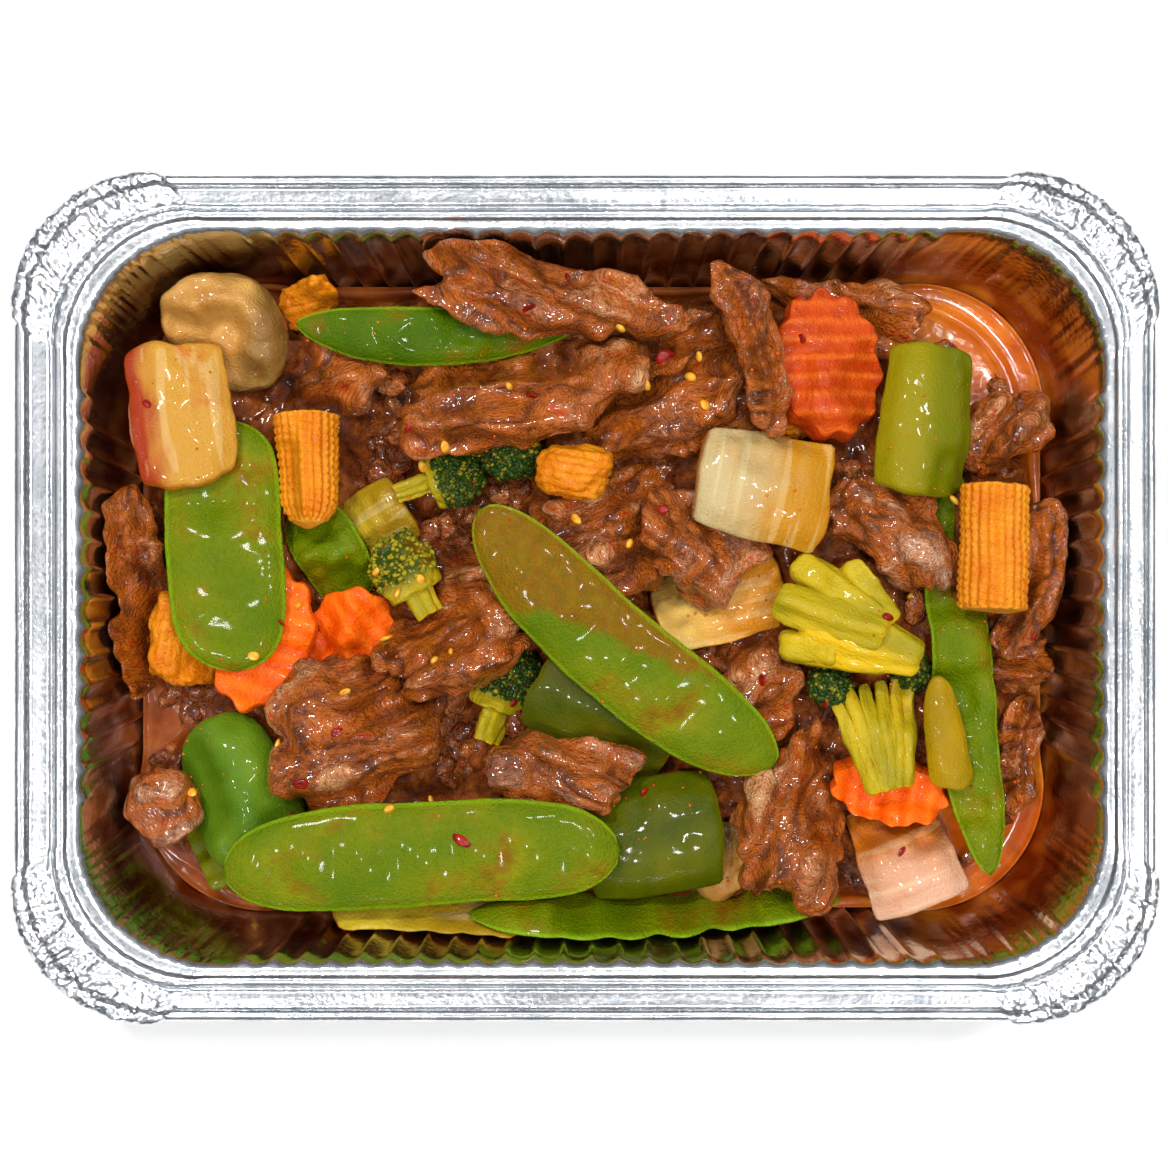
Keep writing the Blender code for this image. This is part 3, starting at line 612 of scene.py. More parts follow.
def slab(length, width, thick, seed, fold=0.0):
    """A torn slice of beef."""
    draw = np.random.default_rng(seed)
    lobes = ((2, 0.09), (3, 0.11), (5, 0.08))
    phases = draw.uniform(0.0, 2 * math.pi, 3)
    wave = fibre_waves(seed)
    read = rounded_profile([(0, 1), (0.55, 1), (0.96, 0.45), (0.96, -0.45), (0.55, -1), (0, -1)])
    ragged = Noise(seed + 500)

    def place(angle, share):
        reach, height = read(share)
        out = 1.0 + sum(size * np.cos(count * angle + phase)
                        for (count, size), phase in zip(lobes, phases))
        out += 0.16 * ragged.layers(column(2.2 * np.cos(angle), 2.2 * np.sin(angle), 0.0), 3)
        x = 0.5 * length * out * reach * np.cos(angle)
        y = 0.5 * width * out * reach * np.sin(angle)
        lift = fold * (1.0 - (2 * y / width) ** 2) + 0.22 * thick * wave(x, y)
        return column(x, y, 0.5 * thick * height + lift)

    form = ball(*SLAB_MESH, place)
    beef_relief(form, seed, thick)
    return form


def strip(length, width, thick, bend, seed, arch=0.0):
    """A long shred of beef."""
    wave = fibre_waves(seed)

    def place(angle, share):
        along = 1.0 - 2.0 * share
        full = np.sqrt(np.maximum(0.0, 1.0 - np.abs(along) ** 3))
        swell = 1.0 + 0.28 * wave(0.5 * length * along, 3.0 * np.sin(angle))
        y = 0.5 * width * full * swell * np.cos(angle)
        z = 0.5 * thick * full * swell * np.sin(angle)
        return column(0.5 * length * along, y, z)

    form = ball(*STRIP_MESH, place)
    beef_relief(form, seed, thick)

    def curve(points):
        x, y = bend_along(points[:, 0], points[:, 1], bend, length)
        return column(x, y, points[:, 2] + arch * (1.0 - (points[:, 0] / (0.5 * length)) ** 2))

    form.reshape(curve)
    return form


def beef_relief(form, seed, thick):
    """Rounded curls parted by creases, lumps and a fine grain over a piece of beef."""
    noise = Noise(seed + 900)
    points = form.points
    warp = column(*(noise.layers(points * 0.06 + shift, 2) for shift in (3.0, 31.0, 67.0)))
    grain = points + 5.0 * warp
    curls = noise.ridges(grain * (0.06, 0.1, 0.1), 2, gain=0.35)
    lumps = noise.layers(grain * 0.17 + 80.0, 2, gain=0.5)
    crumbs = noise.layers(points * 0.42 + 40.0, 2)
    size = min(1.0, thick / 8.0)
    form.grain = grain
    form.swell(size * (4.0 * (curls - 0.27) + 1.1 * lumps) + 0.3 * crumbs)
    # Painted shade marks the creases (fold) and painted highlight the crests (edge); sauce gathers
    # in the hollows (saucy).
    form.marks["fold"] = 1.0 - smoothstep(0.02, 0.16, curls)
    form.marks["edge"] = smoothstep(0.25, 0.6, curls + 0.12 * lumps)
    form.marks["saucy"] = 1.0 - smoothstep(0.08, 0.4, curls)


def pod(length, width, thick, bow=0.0, arch=0.0, peas=5, blunt=3):
    """A snow pea pod."""
    noise = Noise(int(length * 10 + width))

    def place(angle, share):
        along = 1.0 - 2.0 * share
        full = np.maximum(0.0, 1.0 - np.abs(along) ** blunt) ** 0.58
        pea = 1.0 + 0.16 * np.cos(math.pi * peas * along) * np.exp(-(np.cos(angle) * 2.0) ** 2)
        side = np.sign(np.cos(angle)) * np.abs(np.cos(angle)) ** 0.9
        y = 0.5 * width * full * side
        z = 0.5 * thick * full * pea * np.sign(np.sin(angle)) * np.abs(np.sin(angle)) ** 1.15
        return column(0.5 * length * along, y, z)

    form = ball(*POD_MESH, place)
    edge = np.abs(np.cos(form.angle))
    form.marks["edge"] = smoothstep(0.93, 0.995, edge)
    ripple = 0.5 * noise.layers(form.points * 0.06, 2) + 0.1 * noise.layers(form.points * 0.35, 2)
    seam = 0.3 * smoothstep(0.95, 1.0, edge)
    form.swell(ripple + seam)

    def curve(points):
        hump = 1.0 - np.clip(points[:, 0] / (0.5 * length), -1, 1) ** 2
        return points + column(0.0, bow * hump, arch * hump)

    form.reshape(curve)
    return form


def ear(length, width, tip):
    """A cut piece of baby corn with rows of kernels."""
    line = [(0.0, 0.5 * length)]
    for step in range(25):
        along = step / 24.0
        reach = 1.0 - tip * 0.1 * (1.0 - along)
        if tip > 0.5:
            reach *= math.sqrt(1.0 - max(0.0, 1.0 - along / 0.3) ** 2)
        line.append((reach, 0.5 * length - length * along))
    line.append((0.0, -0.5 * length))
    read = rounded_profile(line, 2)
    noise = Noise(int(length * 7 + CORN_ROWS))

    def place(angle, share):
        reach, x = read(share)
        return column(x, 0.5 * width * reach * np.cos(angle), 0.5 * width * reach * np.sin(angle))

    form = ball(CORN_RINGS, CORN_ROWS * ROW_POINTS, place)
    x = form.points[:, 0]
    cut = np.abs(form.normals()[:, 0]) > 0.75
    row = np.abs(np.sin(0.5 * CORN_ROWS * form.angle + 0.25 * np.sin(x * 0.3)))
    offset = 0.5 * np.floor(CORN_ROWS * form.angle / (2 * math.pi))
    bead = np.abs(np.sin(math.pi * (x / KERNEL_LENGTH + 0.35 * offset)))
    kernel = row ** 0.6 * (0.5 + 0.5 * bead ** 0.6)
    kernel = np.where(cut, 0.75 + 0.12 * noise.layers(form.points * 0.9, 2), kernel)
    form.swell(kernel - 0.75 + 0.3 * noise.layers(form.points * 0.2, 2))
    # The grooves' mark carries painted shade; the cut ends carry their paler flesh.
    form.marks["fold"] = np.where(cut, 0.0, 1.0 - smoothstep(0.2, 0.6, kernel))
    form.marks["edge"] = cut.astype(float)
    return form


def crinkle_slice(length, width, thick, scallops):
    """A crinkle-cut carrot slice with parallel ridges over both faces."""
    read = rounded_profile(
        [(0, 1), (0.6, 1), (0.93, 1), (1.0, 0.8), (1.0, -0.8), (0.93, -1), (0, -1)], 1)
    noise = Noise(1 + int(length * 3))

    def place(angle, share):
        reach, height = read(share)
        out = reach * (1.0 + SCALLOP * reach ** 3 * np.cos(scallops * angle))
        out *= 1.0 + 0.03 * noise.layers(column(np.cos(angle), np.sin(angle), 3.0), 2)
        return column(0.5 * length * out * np.cos(angle), 0.5 * width * out * np.sin(angle),
                      0.5 * thick * height)

    form = ball(*CARROT_MESH, place)
    wave = np.sin(2 * math.pi * form.points[:, 0] / CARROT_RIDGE_PITCH)
    face = np.abs(form.normals()[:, 2]) > 0.6
    form.points[:, 2] += CARROT_RIDGE * wave
    # Marks for painted shade in the troughs and round the sides, and for painted highlight on the
    # ridges.
    form.marks["fold"] = np.where(face, smoothstep(0.1, 1.0, -wave), 0.3)
    form.marks["edge"] = np.where(face, smoothstep(0.2, 1.0, wave), 0.0)
    form.swell(0.22 * noise.layers(form.points * 0.45, 3))
    return form


def chunk(length, width, thick, seed, square=0.0, relief=0.35):
    """A cut lump of mushroom, corn or beef."""
    draw = np.random.default_rng(seed)
    phases = draw.uniform(0.0, 2 * math.pi, 2)
    read = rounded_profile([(0, 1), (0.6, 0.92), (0.97, 0.5), (0.97, -0.5), (0.6, -0.92), (0, -1)])
    noise = Noise(seed + 300)

    def place(angle, share):
        reach, height = read(share)
        corner = 1.0 / np.maximum(np.abs(np.cos(angle)), np.abs(np.sin(angle)))
        out = reach * (1.0 + square * 0.6 * (corner - 1.0))
        out = out * (1.0 + 0.05 * np.cos(2 * angle + phases[0])
                     + 0.05 * np.cos(3 * angle + phases[1]))
        return column(0.5 * length * out * np.cos(angle), 0.5 * width * out * np.sin(angle),
                      0.5 * thick * height)

    form = ball(*CHUNK_MESH, place)
    form.swell(relief * noise.layers(form.points * 0.18, 3))
    return form


def corn_chunk(length, width, thick, seed, square=0.5):
    """A lump cut from a baby corn: kernels in rows over its top."""
    form = chunk(length, width, thick, seed, square, relief=0.3)
    x, y = form.points[:, 0], form.points[:, 1]
    row = np.abs(np.sin(math.pi * y / KERNEL_WIDTH))
    bead = np.abs(np.sin(math.pi * x / KERNEL_WIDTH + 0.5 * math.pi * np.floor(y / KERNEL_WIDTH)))
    kernel = np.sqrt(row) * (0.6 + 0.4 * np.sqrt(bead))
    form.swell(0.4 * (kernel - 0.6) + 0.9 * Noise(seed).layers(form.points * 0.22, 3))
    # The grooves' mark carries painted shade.
    form.marks["fold"] = 1.0 - smoothstep(0.3, 0.75, kernel)
    return form


def beef_chunk(length, width, thick, seed):
    """A curled lump of beef."""
    form = chunk(length, width, thick, seed)
    beef_relief(form, seed, thick)
    return form


def mushroom(length, width, thick, seed):
    """A halved mushroom: a smooth cap with a wrinkled dark gill side at +x."""
    form = chunk(length, width, thick, seed, relief=0.5)
    side = form.points[:, 0] / (0.5 * length)
    gill = smoothstep(0.0, 0.45, side)
    noise = Noise(seed)
    form.swell(-1.0 * gill + gill * 0.7 * noise.ridges(form.points * (0.15, 0.7, 0.7), 2))
    form.marks["dark"] = gill * 0.6
    return form


def petal(length, width, thick, curl, bow=0.0, taper=0.0, corners=0.16, relief=0.3, split=None,
          across_tone=False, rag=0.04):
    """A curved sheet of pepper or onion with a cut edge all round."""
    turn = math.radians(curl)
    read = rounded_profile([(0, 0), (0.9, 0), (1.0, 0.12), (1.0, 0.88), (0.9, 1), (0, 1)], 1)
    noise = Noise(5 + int(length * 5 + width))

    def place(angle, share):
        reach, depth = read(share)
        corner = 1.0 / np.maximum(np.abs(np.cos(angle)), np.abs(np.sin(angle)))
        out = reach * corner
        u, v = out * np.cos(angle), out * np.sin(angle)
        ragged = 1.0 + rag * noise.layers(column(1.5 * np.cos(angle), 1.5 * np.sin(angle), 0.0), 2)
        pull = 1.0 - corners * 0.5 * (u * v) ** 2
        side = v * (1.0 - taper * u) * pull * ragged
        x = 0.5 * length * u * pull * ragged
        if abs(turn) > 0.01:
            radius = width / turn
            bend = 0.5 * turn * side
            y = (radius - thick * depth) * np.sin(bend)
            z = (radius - thick * depth) * np.cos(bend) - radius
        else:
            y, z = 0.5 * width * side, -thick * depth
        return column(x, y, z + bow * (1.0 - u * u))

    form = ball(*PETAL_MESH, place)
    reach, depth = read(form.share)
    form.marks["edge"] = smoothstep(0.05, 0.25, depth)
    if split is not None:
        form.marks["dark"] = smoothstep(split - 0.3, split + 0.3, reach * np.sin(form.angle))
    if across_tone:
        form.marks["dark"] = smoothstep(-0.5 * length, 0.5 * length, form.points[:, 0])
    form.swell(relief * noise.layers(form.points * 0.1, 3)
               + 0.05 * noise.layers(form.points * 0.6, 2))
    return form


def floret(length, stalk, head, head_share, seed):
    """Broccoli: a ribbed stalk towards -x that spreads into a lumpy head towards +x."""
    noise = Noise(seed + 60)

    def place(angle, share):
        along = 1.0 - share
        into = np.clip((along - 1.0 + head_share) / head_share, 0.0, 1.0)
        bulge = np.sin(math.pi * np.minimum(1.0, 0.25 + 0.7 * into))
        reach = np.where(along < 1.0 - head_share, stalk * (0.85 + 0.3 * along),
                         stalk + (head - stalk) * bulge)
        reach = reach * np.sqrt(np.clip(share / 0.09, 0.0, 1.0)) * np.clip(along / 0.012, 0.0, 1.0)
        x = length * (along - 0.5)
        return column(x, 0.5 * reach * np.cos(angle), 0.35 * reach * np.sin(angle))

    form = ball(*FLORET_MESH, place)
    along = 1.0 - form.share
    into = smoothstep(1.0 - head_share, 1.0 - 0.6 * head_share, along)
    lumps = noise.ridges(form.points * 0.16, 2)
    ribs = np.abs(np.sin(2.5 * form.angle + 0.4 * np.sin(form.points[:, 0] * 0.3)))
    form.swell(into * (3.2 * (lumps - 0.25)) + (1 - into) * 0.7 * (ribs - 0.5)
               + 0.25 * noise.layers(form.points * 0.4, 3))
    form.marks["dark"] = into
    form.marks["edge"] = smoothstep(0.03, 0.012, along)
    form.head = into
    return form


def joined_faces(counts, faces):
    """Faces of several forms numbered as one, from each form's count of points and its faces."""
    bases = np.cumsum([0] + counts[:-1]).tolist()
    return [tuple(base + i for i in face) for base, own in zip(bases, faces) for face in own]


def join(forms):
    """Several closed forms as one."""
    faces = joined_faces([len(form.points) for form in forms], [form.faces for form in forms])
    whole = Form(np.vstack([form.points for form in forms]), faces)
    whole.base = np.vstack([form.base for form in forms])
    whole.grain = np.vstack([form.grain for form in forms])
    for key in forms[0].marks:
        whole.marks[key] = np.concatenate([form.marks[key] for form in forms])
    whole.head = whole.marks["dark"]
    return whole


def limb(start, end, foot, tip, flat, seed, ribs=5, dark=0.0):
    """A ribbed broccoli stem from start to end with cut ends; foot and tip are its widths."""
    read = rounded_profile([(0, 0), (0.75, 0), (1, 0.08), (1, 0.88), (0.75, 1), (0, 1)], 2)
    noise = Noise(seed)
    start, end = np.array(start, dtype=float), np.array(end, dtype=float)
    forward = (end - start) / np.linalg.norm(end - start)
    sideways = np.cross((0.0, 0.0, 1.0), forward)
    upward = np.cross(forward, sideways)

    def place(angle, share):
        reach, along = read(share)
        half = 0.5 * reach * (foot + (tip - foot) * along)
        half = half * (1.0 + 0.1 * np.cos(ribs * angle + seed) + 0.07 * np.cos((ribs - 2) * angle))
        return (start + (end - start) * along[:, None] + (half * np.cos(angle))[:, None] * sideways
                + (half * flat * np.sin(angle))[:, None] * upward)

    form = ball(*LIMB_MESH, place)
    reach, along = read(form.share)
    form.marks["edge"] = np.maximum(smoothstep(0.04, 0.0, along),
                                    0.5 * smoothstep(0.97, 1.0, along))
    form.marks["dark"] = dark * smoothstep(0.75, 1.0, along)
    form.swell(0.5 * noise.layers(form.points * 0.22, 3))
    return form


def stalk_cluster():
    """A cut broccoli stalk: a flat wedge with a golden cut face, and four stems that leave it."""
    wedge = limb((-15.5, 0.5, 0.0), (8.0, 3.0, 0.0), 7.0, 17.5, 0.5, 3, ribs=7)
    y, z = wedge.points.T[1:]
    wedge.marks["edge"] = smoothstep(0.0, 4.0, y) * smoothstep(-1.0, 2.5, z)
    stems = [limb((-7, -1, 2.5), (14.5, 1.5, 2.5), 7.0, 8.0, 0.75, 5),
             limb((-5, -3, 1.5), (14.0, -6.8, 1.5), 7.0, 6.5, 0.8, 8),
             limb((-7, -3, 1.0), (5.0, -10.0, 0.5), 7.0, 5.5, 0.8, 12),
             limb((0, 5, 0.5), (10.0, 9.0, 0.5), 8.0, 6.0, 0.8, 15)]
    return join([wedge] + stems)


def strand_cluster(length, stalk, head):
    """Torn broccoli stems that fan out from one foot, with a small head at each side."""
    stems = []
    for index in range(6):
        side = (index - 2.5) / 2.5
        foot = (-0.5 * length, 0.22 * stalk * side, 0.0)
        top = (0.3 * length, 0.42 * head * side, 1.5 - abs(side))
        stems.append(limb(foot, top, 4.2, 2.6, 0.9, 20 + index, ribs=3, dark=0.3))
    heads = [lumpy_head((0.33 * length, 0.42 * head * side, 0.0), 8.0, 40 + side)
             for side in (-1, 1)]
    return join(stems + heads)


def lumpy_head(centre, size, seed):
    """A small broccoli head that carries buds."""
    noise = Noise(seed)

    def place(angle, share):
        tilt = math.pi * share
        around = 0.5 * size * np.sin(tilt)
        return column(around * np.cos(angle), around * np.sin(angle),
                      0.42 * size * np.cos(tilt)) + centre

    form = ball(*HEAD_MESH, place)
    form.swell(1.4 * (noise.ridges(form.points * 0.3, 2) - 0.3))
    form.marks["edge"] = np.zeros(len(form.points))
    form.marks["dark"] = np.ones(len(form.points))
    return form


# Placing a piece and bending it as its solid is bent
def turn_matrix(degrees):
    """The turn by (roll, pitch, yaw) degrees."""
    return np.array(Euler([math.radians(angle) for angle in degrees], "XYZ").to_matrix())


def node_points(name):
    """Points and normals of a solid, in millimetres."""
    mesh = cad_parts[name].data
    points = np.zeros(len(mesh.vertices) * 3, dtype=np.float32)
    normals = np.zeros_like(points)
    mesh.vertices.foreach_get("co", points)
    mesh.vertex_normals.foreach_get("vector", normals)
    return points.reshape(-1, 3).astype(float) / MM, normals.reshape(-1, 3).astype(float)


def bending(name, base, base_normals, stiff):
    """How far a solid was bent down over each place, smoother for stiff pieces."""
    solid, solid_normals = node_points(name)
    drops, places = [], []
    for side in (1.0, -1.0):
        ours = base_normals[:, 2] * side > 0.15
        theirs = solid_normals[:, 2] * side > 0.15
        if not ours.any():
            continue
        for point in solid[theirs]:
            away = np.hypot(base[ours, 0] - point[0], base[ours, 1] - point[1])
            nearest = np.argmin(away)
            if away[nearest] < 1.2:
                drops.append(base[ours][nearest, 2] - point[2])
                places.append(point[:2])
    places, drops = np.array(places), np.array(drops)

    def drop(x, y):
        away = (x[:, None] - places[None, :, 0]) ** 2 + (y[:, None] - places[None, :, 1]) ** 2
        weight = 1.0 / (away + stiff) ** 2
        return (weight @ drops) / weight.sum(axis=1)

    return drop


def make_object(name, points, faces, material, marks=None, grain=None):
    """A smooth-shaded mesh object from points in millimetres."""
    mesh = bpy.data.meshes.new(name)
    mesh.from_pydata((points * MM).tolist(), [], faces)
    mesh.shade_smooth()
    grain = points if grain is None else grain
    place = mesh.attributes.new("grain", "FLOAT_VECTOR", "POINT")
    place.data.foreach_set("vector", grain.astype(np.float32).ravel())
    for key in ("edge", "fold", "dark", "saucy", "crumple", "heap"):
        values = (marks or {}).get(key)
        if values is not None:
            mark = mesh.attributes.new(key, "FLOAT", "POINT")
            mark.data.foreach_set("value", np.asarray(values, dtype=np.float32))
    mesh.materials.append(material)
    thing = bpy.data.objects.new(name, mesh)
    bpy.context.scene.collection.objects.link(thing)
    return thing


def held_in(points, margin=FOOD_CLEAR):
    """Points of food moved in from the walls where they would pass through the foil."""
    below = np.maximum(0.0, WALL_TOP - points[:, 2])
    inset = WALL_ROUNDING + FLUTE_DEPTH + margin + below * WALL_TAPER
    middle = points[:, :2] - (OPENING_SHIFT, 0.0)
    half = np.column_stack([OPENING_X - inset, OPENING_Y - inset])
    past = np.maximum(0.0, np.abs(middle) - (half - CORNER_RADIUS))
    reach = np.maximum(1e-6, np.hypot(past[:, 0], past[:, 1]))
    over = np.maximum(0.0, reach - CORNER_RADIUS) / reach
    held = points.copy()
    held[:, :2] -= np.sign(middle) * past * over[:, None]
    return held


class Kitchen:
    """Lays the pieces of food over their solids; skins has each kind's material."""

    def __init__(self, skins):
        self.skins = skins
        self.placed = {}

    def lay(self, node, form, at, turn, skin=None, guide=None, saucy=None, stiff=3.0):
        """Place a form over its solid, bend it like the solid and stand it in for that node.

        A guide is a form nearer the solid's own shape, where the form differs from it.
        Saucy gives the share of sauce over the form from its base, as parts of its half size.
        """
        kind = node.split("_")[0]
        rotation = turn_matrix(turn)
        guide = guide or form
        if saucy is not None:
            form.marks["saucy"] = saucy(form.base / (0.5 * np.abs(form.base).max(axis=0)))
        smooth = guide.base @ rotation.T + np.array(at)
        drop = bending(node, smooth, guide.normals(guide.base) @ rotation.T, stiff)
        points = form.points @ rotation.T + np.array(at)
        normals = form.normals() @ rotation.T
        points[:, 2] -= drop(points[:, 0], points[:, 1])
        points = held_in(points)
        skin = skin or self.skins[kind]
        piece = make_object("food_" + node, points, form.faces, skin, form.marks, form.grain)
        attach(piece, "root")
        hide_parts(node)
        self.placed[node] = (points, normals, form)


# Tray
def rim_points():
    """The way round the tray: for each point its corner or side, share of it, and outward turn."""
    quarters = []
    for quarter in range(4):
        for step in range(CORNER_STEPS):
            quarters.append((quarter, True, step / CORNER_STEPS))
        count = FLUTE_STEPS * (FLUTES_X if quarter % 2 == 0 else FLUTES_Y)
        for step in range(count):
            quarters.append((quarter, False, step / count))
    return quarters


def ring(way, half_x, half_y, radius, centre_x, lobe, flute):
    """Points of one level of the tray."""
    points = []
    for quarter, corner, share in way:
        across = math.copysign(1.0, math.cos(quarter * math.pi / 2 + math.pi / 4))
        up = math.copysign(1.0, math.sin(quarter * math.pi / 2 + math.pi / 4))
        middle_x, middle_y = across * (half_x - radius), up * (half_y - radius)
        if corner:
            angle = (quarter + share) * math.pi / 2
            ease = math.sin(math.pi * share) ** 0.25
            reach = radius + lobe * ease
            points.append((centre_x + middle_x + reach * math.cos(angle),
                           middle_y + reach * math.sin(angle)))
            continue
        turn = (quarter + 1) * math.pi / 2
        start_x, start_y = middle_x + radius * math.cos(turn), middle_y + radius * math.sin(turn)
        end_x = -start_x if quarter % 2 == 0 else start_x
        end_y = start_y if quarter % 2 == 0 else -start_y
        inward = flute(share, FLUTES_X if quarter % 2 == 0 else FLUTES_Y,
                       2 * (half_x if quarter % 2 == 0 else half_y) - 2 * radius)
        points.append((centre_x + start_x + (end_x - start_x) * share - inward * math.cos(turn),
                       start_y + (end_y - start_y) * share - inward * math.sin(turn)))
    return np.array(points)


# The rim from its bead to the wall: distance in and how far below the top
RIM_LINE = (
    (1.6, 2.75), (0.9, 2.7), (0.35, 2.3), (0.05, 1.75), (0.0, 1.3), (0.12, 0.8), (0.45, 0.3),
    (0.9, 0.06), (1.35, 0.0), (1.8, 0.12), (2.15, 0.45), (2.4, 0.95), (2.7, 1.25), (3.2, 1.3),
    (4.2, 1.28), (5.3, 1.3), (5.8, 1.38), (6.05, 1.75), (6.35, 1.8), (6.6, 1.35), (6.9, 0.95),
    (7.3, 0.8), (8.0, 0.8), (8.35, 0.95), (8.6, 1.45), (8.85, 1.62), (9.6, 1.7), (10.3, 1.85),
)
# The floor from the foot of the wall inwards: distance in and height
FLOOR_LINE = ((0.6, 1.6), (1.4, 0.7), (FLOOR_INSET, FOIL), (12.0, FOIL), (30.0, FOIL), (45.0, FOIL))


def pushed_out(level, push):
    """Points of one level moved away from the middles of the corners."""
    direction = level - np.sign(level) * (OPENING_X - CORNER_RADIUS, OPENING_Y - CORNER_RADIUS)
    direction /= np.maximum(np.linalg.norm(direction, axis=1), 1e-6)[:, None]
    return level + direction * push[:, None]


def build_tray(material):
    """The foil tray: rolled bead, stepped rim, fluted walls, crimped corner lobes and floor."""
    way = rim_points()
    count = len(way)
    noise = Noise(7)
    rim_width = SIDE_X - OPENING_X
    levels, crumples, film_and_shade_marks = [], [], []
    corner = np.array([is_corner for quarter, is_corner, share in way])
    share = np.array([part for quarter, is_corner, part in way])
    around = np.array([quarter + (0.5 * part if is_corner else 0.5 + 0.5 * part)
                       for quarter, is_corner, part in way])
    middle = np.where(corner, np.sin(math.pi * share) ** 0.35, 0.0)
    pleat_place = column(np.cos(around * math.pi / 2) * 26, np.sin(around * math.pi / 2) * 26, 0.0)

    def no_flute(part, flutes, run):
        return 0.0

    def add(level, height, crumple, film):
        levels.append(np.column_stack([level, np.full(count, height)]))
        crumples.append(np.full(count, crumple))
        film_and_shade_marks.append(np.full(count, film))

    for way_in, drop in RIM_LINE:
        out = 1.0 - way_in / rim_width
        half_x = OPENING_X + (SIDE_X - OPENING_X) * out
        half_y = OPENING_Y + (SIDE_Y - OPENING_Y) * out
        level = ring(way, half_x, half_y, CORNER_RADIUS + (LOBE_RADIUS - CORNER_RADIUS) * out,
                     OPENING_SHIFT * (1.0 - out), LOBE * out, no_flute)
        pleats = noise.ridges(pleat_place * 0.55 + 0.09 * way_in, 2) - 0.3
        fine = noise.layers(column(level[:, 0] * 1.2, level[:, 1] * 1.2, 1.2 * way_in), 2)
        dents = noise.layers(column(level[:, 0] * 0.05, level[:, 1] * 0.05, 0.3 * way_in), 2)
        grow = smoothstep(9.5, 3.0, np.full(count, way_in))
        lift = middle * grow * (1.7 * pleats + 0.55 * fine) + 0.12 * dents + 0.05 * fine * middle
        push = middle * grow * (0.9 * noise.ridges(pleat_place * 0.5 + 5.0, 2) - 0.3)
        level = pushed_out(level, push * (0.6 if way_in < 3.0 else 0.25))
        add(level, TRAY_HEIGHT - drop + np.minimum(lift, drop - 0.02), 0.12 + 0.88 * middle * grow,
            0.0)

    for step in range(WALL_LEVELS + 1):
        deep = step / WALL_LEVELS
        height = WALL_TOP + (WALL_FOOT - WALL_TOP) * deep
        inset = WALL_ROUNDING + (WALL_TOP - height) * WALL_TAPER
        fade = 1.0 - smoothstep(0.9, 1.0, deep)

        def flute(part, flutes, run):
            from_corner = min(part, 1.0 - part) * run
            slant = float(smoothstep(3.0 + 9.0 * deep, 5.0 + 9.0 * deep, from_corner))
            rib = abs(math.sin(math.pi * part * flutes)) ** 0.8
            return FLUTE_DEPTH * (1.0 - rib) * fade * slant

        level = ring(way, OPENING_X - inset, OPENING_Y - inset, CORNER_RADIUS, OPENING_SHIFT, 0.0,
                     flute)
        down = np.full(count, 0.05 * (WALL_TOP - height))
        wrinkle = noise.layers(column(around * 52.0, down, 2.0), 2)
        near_rim = 1.0 - smoothstep(0.0, 0.8, np.full(count, deep))
        dents = noise.layers(column(level[:, 0], level[:, 1], height) * 0.25, 2)
        level = pushed_out(level, (middle * near_rim * 0.55 * wrinkle + 0.08 * dents) * corner)
        # The walls' brown share: partly a sauce film, partly a painted reflection of the shaded
        # food.
        add(level, height, 0.1 + 0.1 * middle * near_rim, 0.95 * smoothstep(0.05, 0.3, deep))

    foot = WALL_ROUNDING + (WALL_TOP - WALL_FOOT) * WALL_TAPER
    for extra, height in FLOOR_LINE:
        inset = foot + extra
        radius = max(4.0, CORNER_RADIUS - extra)
        level = ring(way, OPENING_X - inset, OPENING_Y - inset,
                     min(radius, OPENING_Y - inset - 0.5),
                     OPENING_SHIFT, 0.0, no_flute)
        add(level, height, 0.1, 1.0)

    points = np.vstack(levels + [np.array([[OPENING_SHIFT, 0.0, FOIL]])])
    faces = []
    for row in range(len(levels) - 1):
        base = row * count
        for i in range(count):
            j = (i + 1) % count
            faces.append((base + i, base + j, base + count + j, base + count + i))
    base = (len(levels) - 1) * count
    for i in range(count):
        faces.append((base + i, base + (i + 1) % count, len(points) - 1))
    marks = {"crumple": np.concatenate(crumples + [np.array([0.1])]),
             "saucy": np.concatenate(film_and_shade_marks + [np.array([1.0])])}
    tray = make_object("foil_tray", points, faces, material, marks)
    shell = tray.modifiers.new("foil thickness", "SOLIDIFY")
    shell.thickness = FOIL * MM
    shell.offset = -1.0
    tray.data.materials.append(foil_material("foil_outside", film_and_shade_inside=False))
    shell.material_offset = 1
    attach(tray, "root")
    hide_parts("tray")


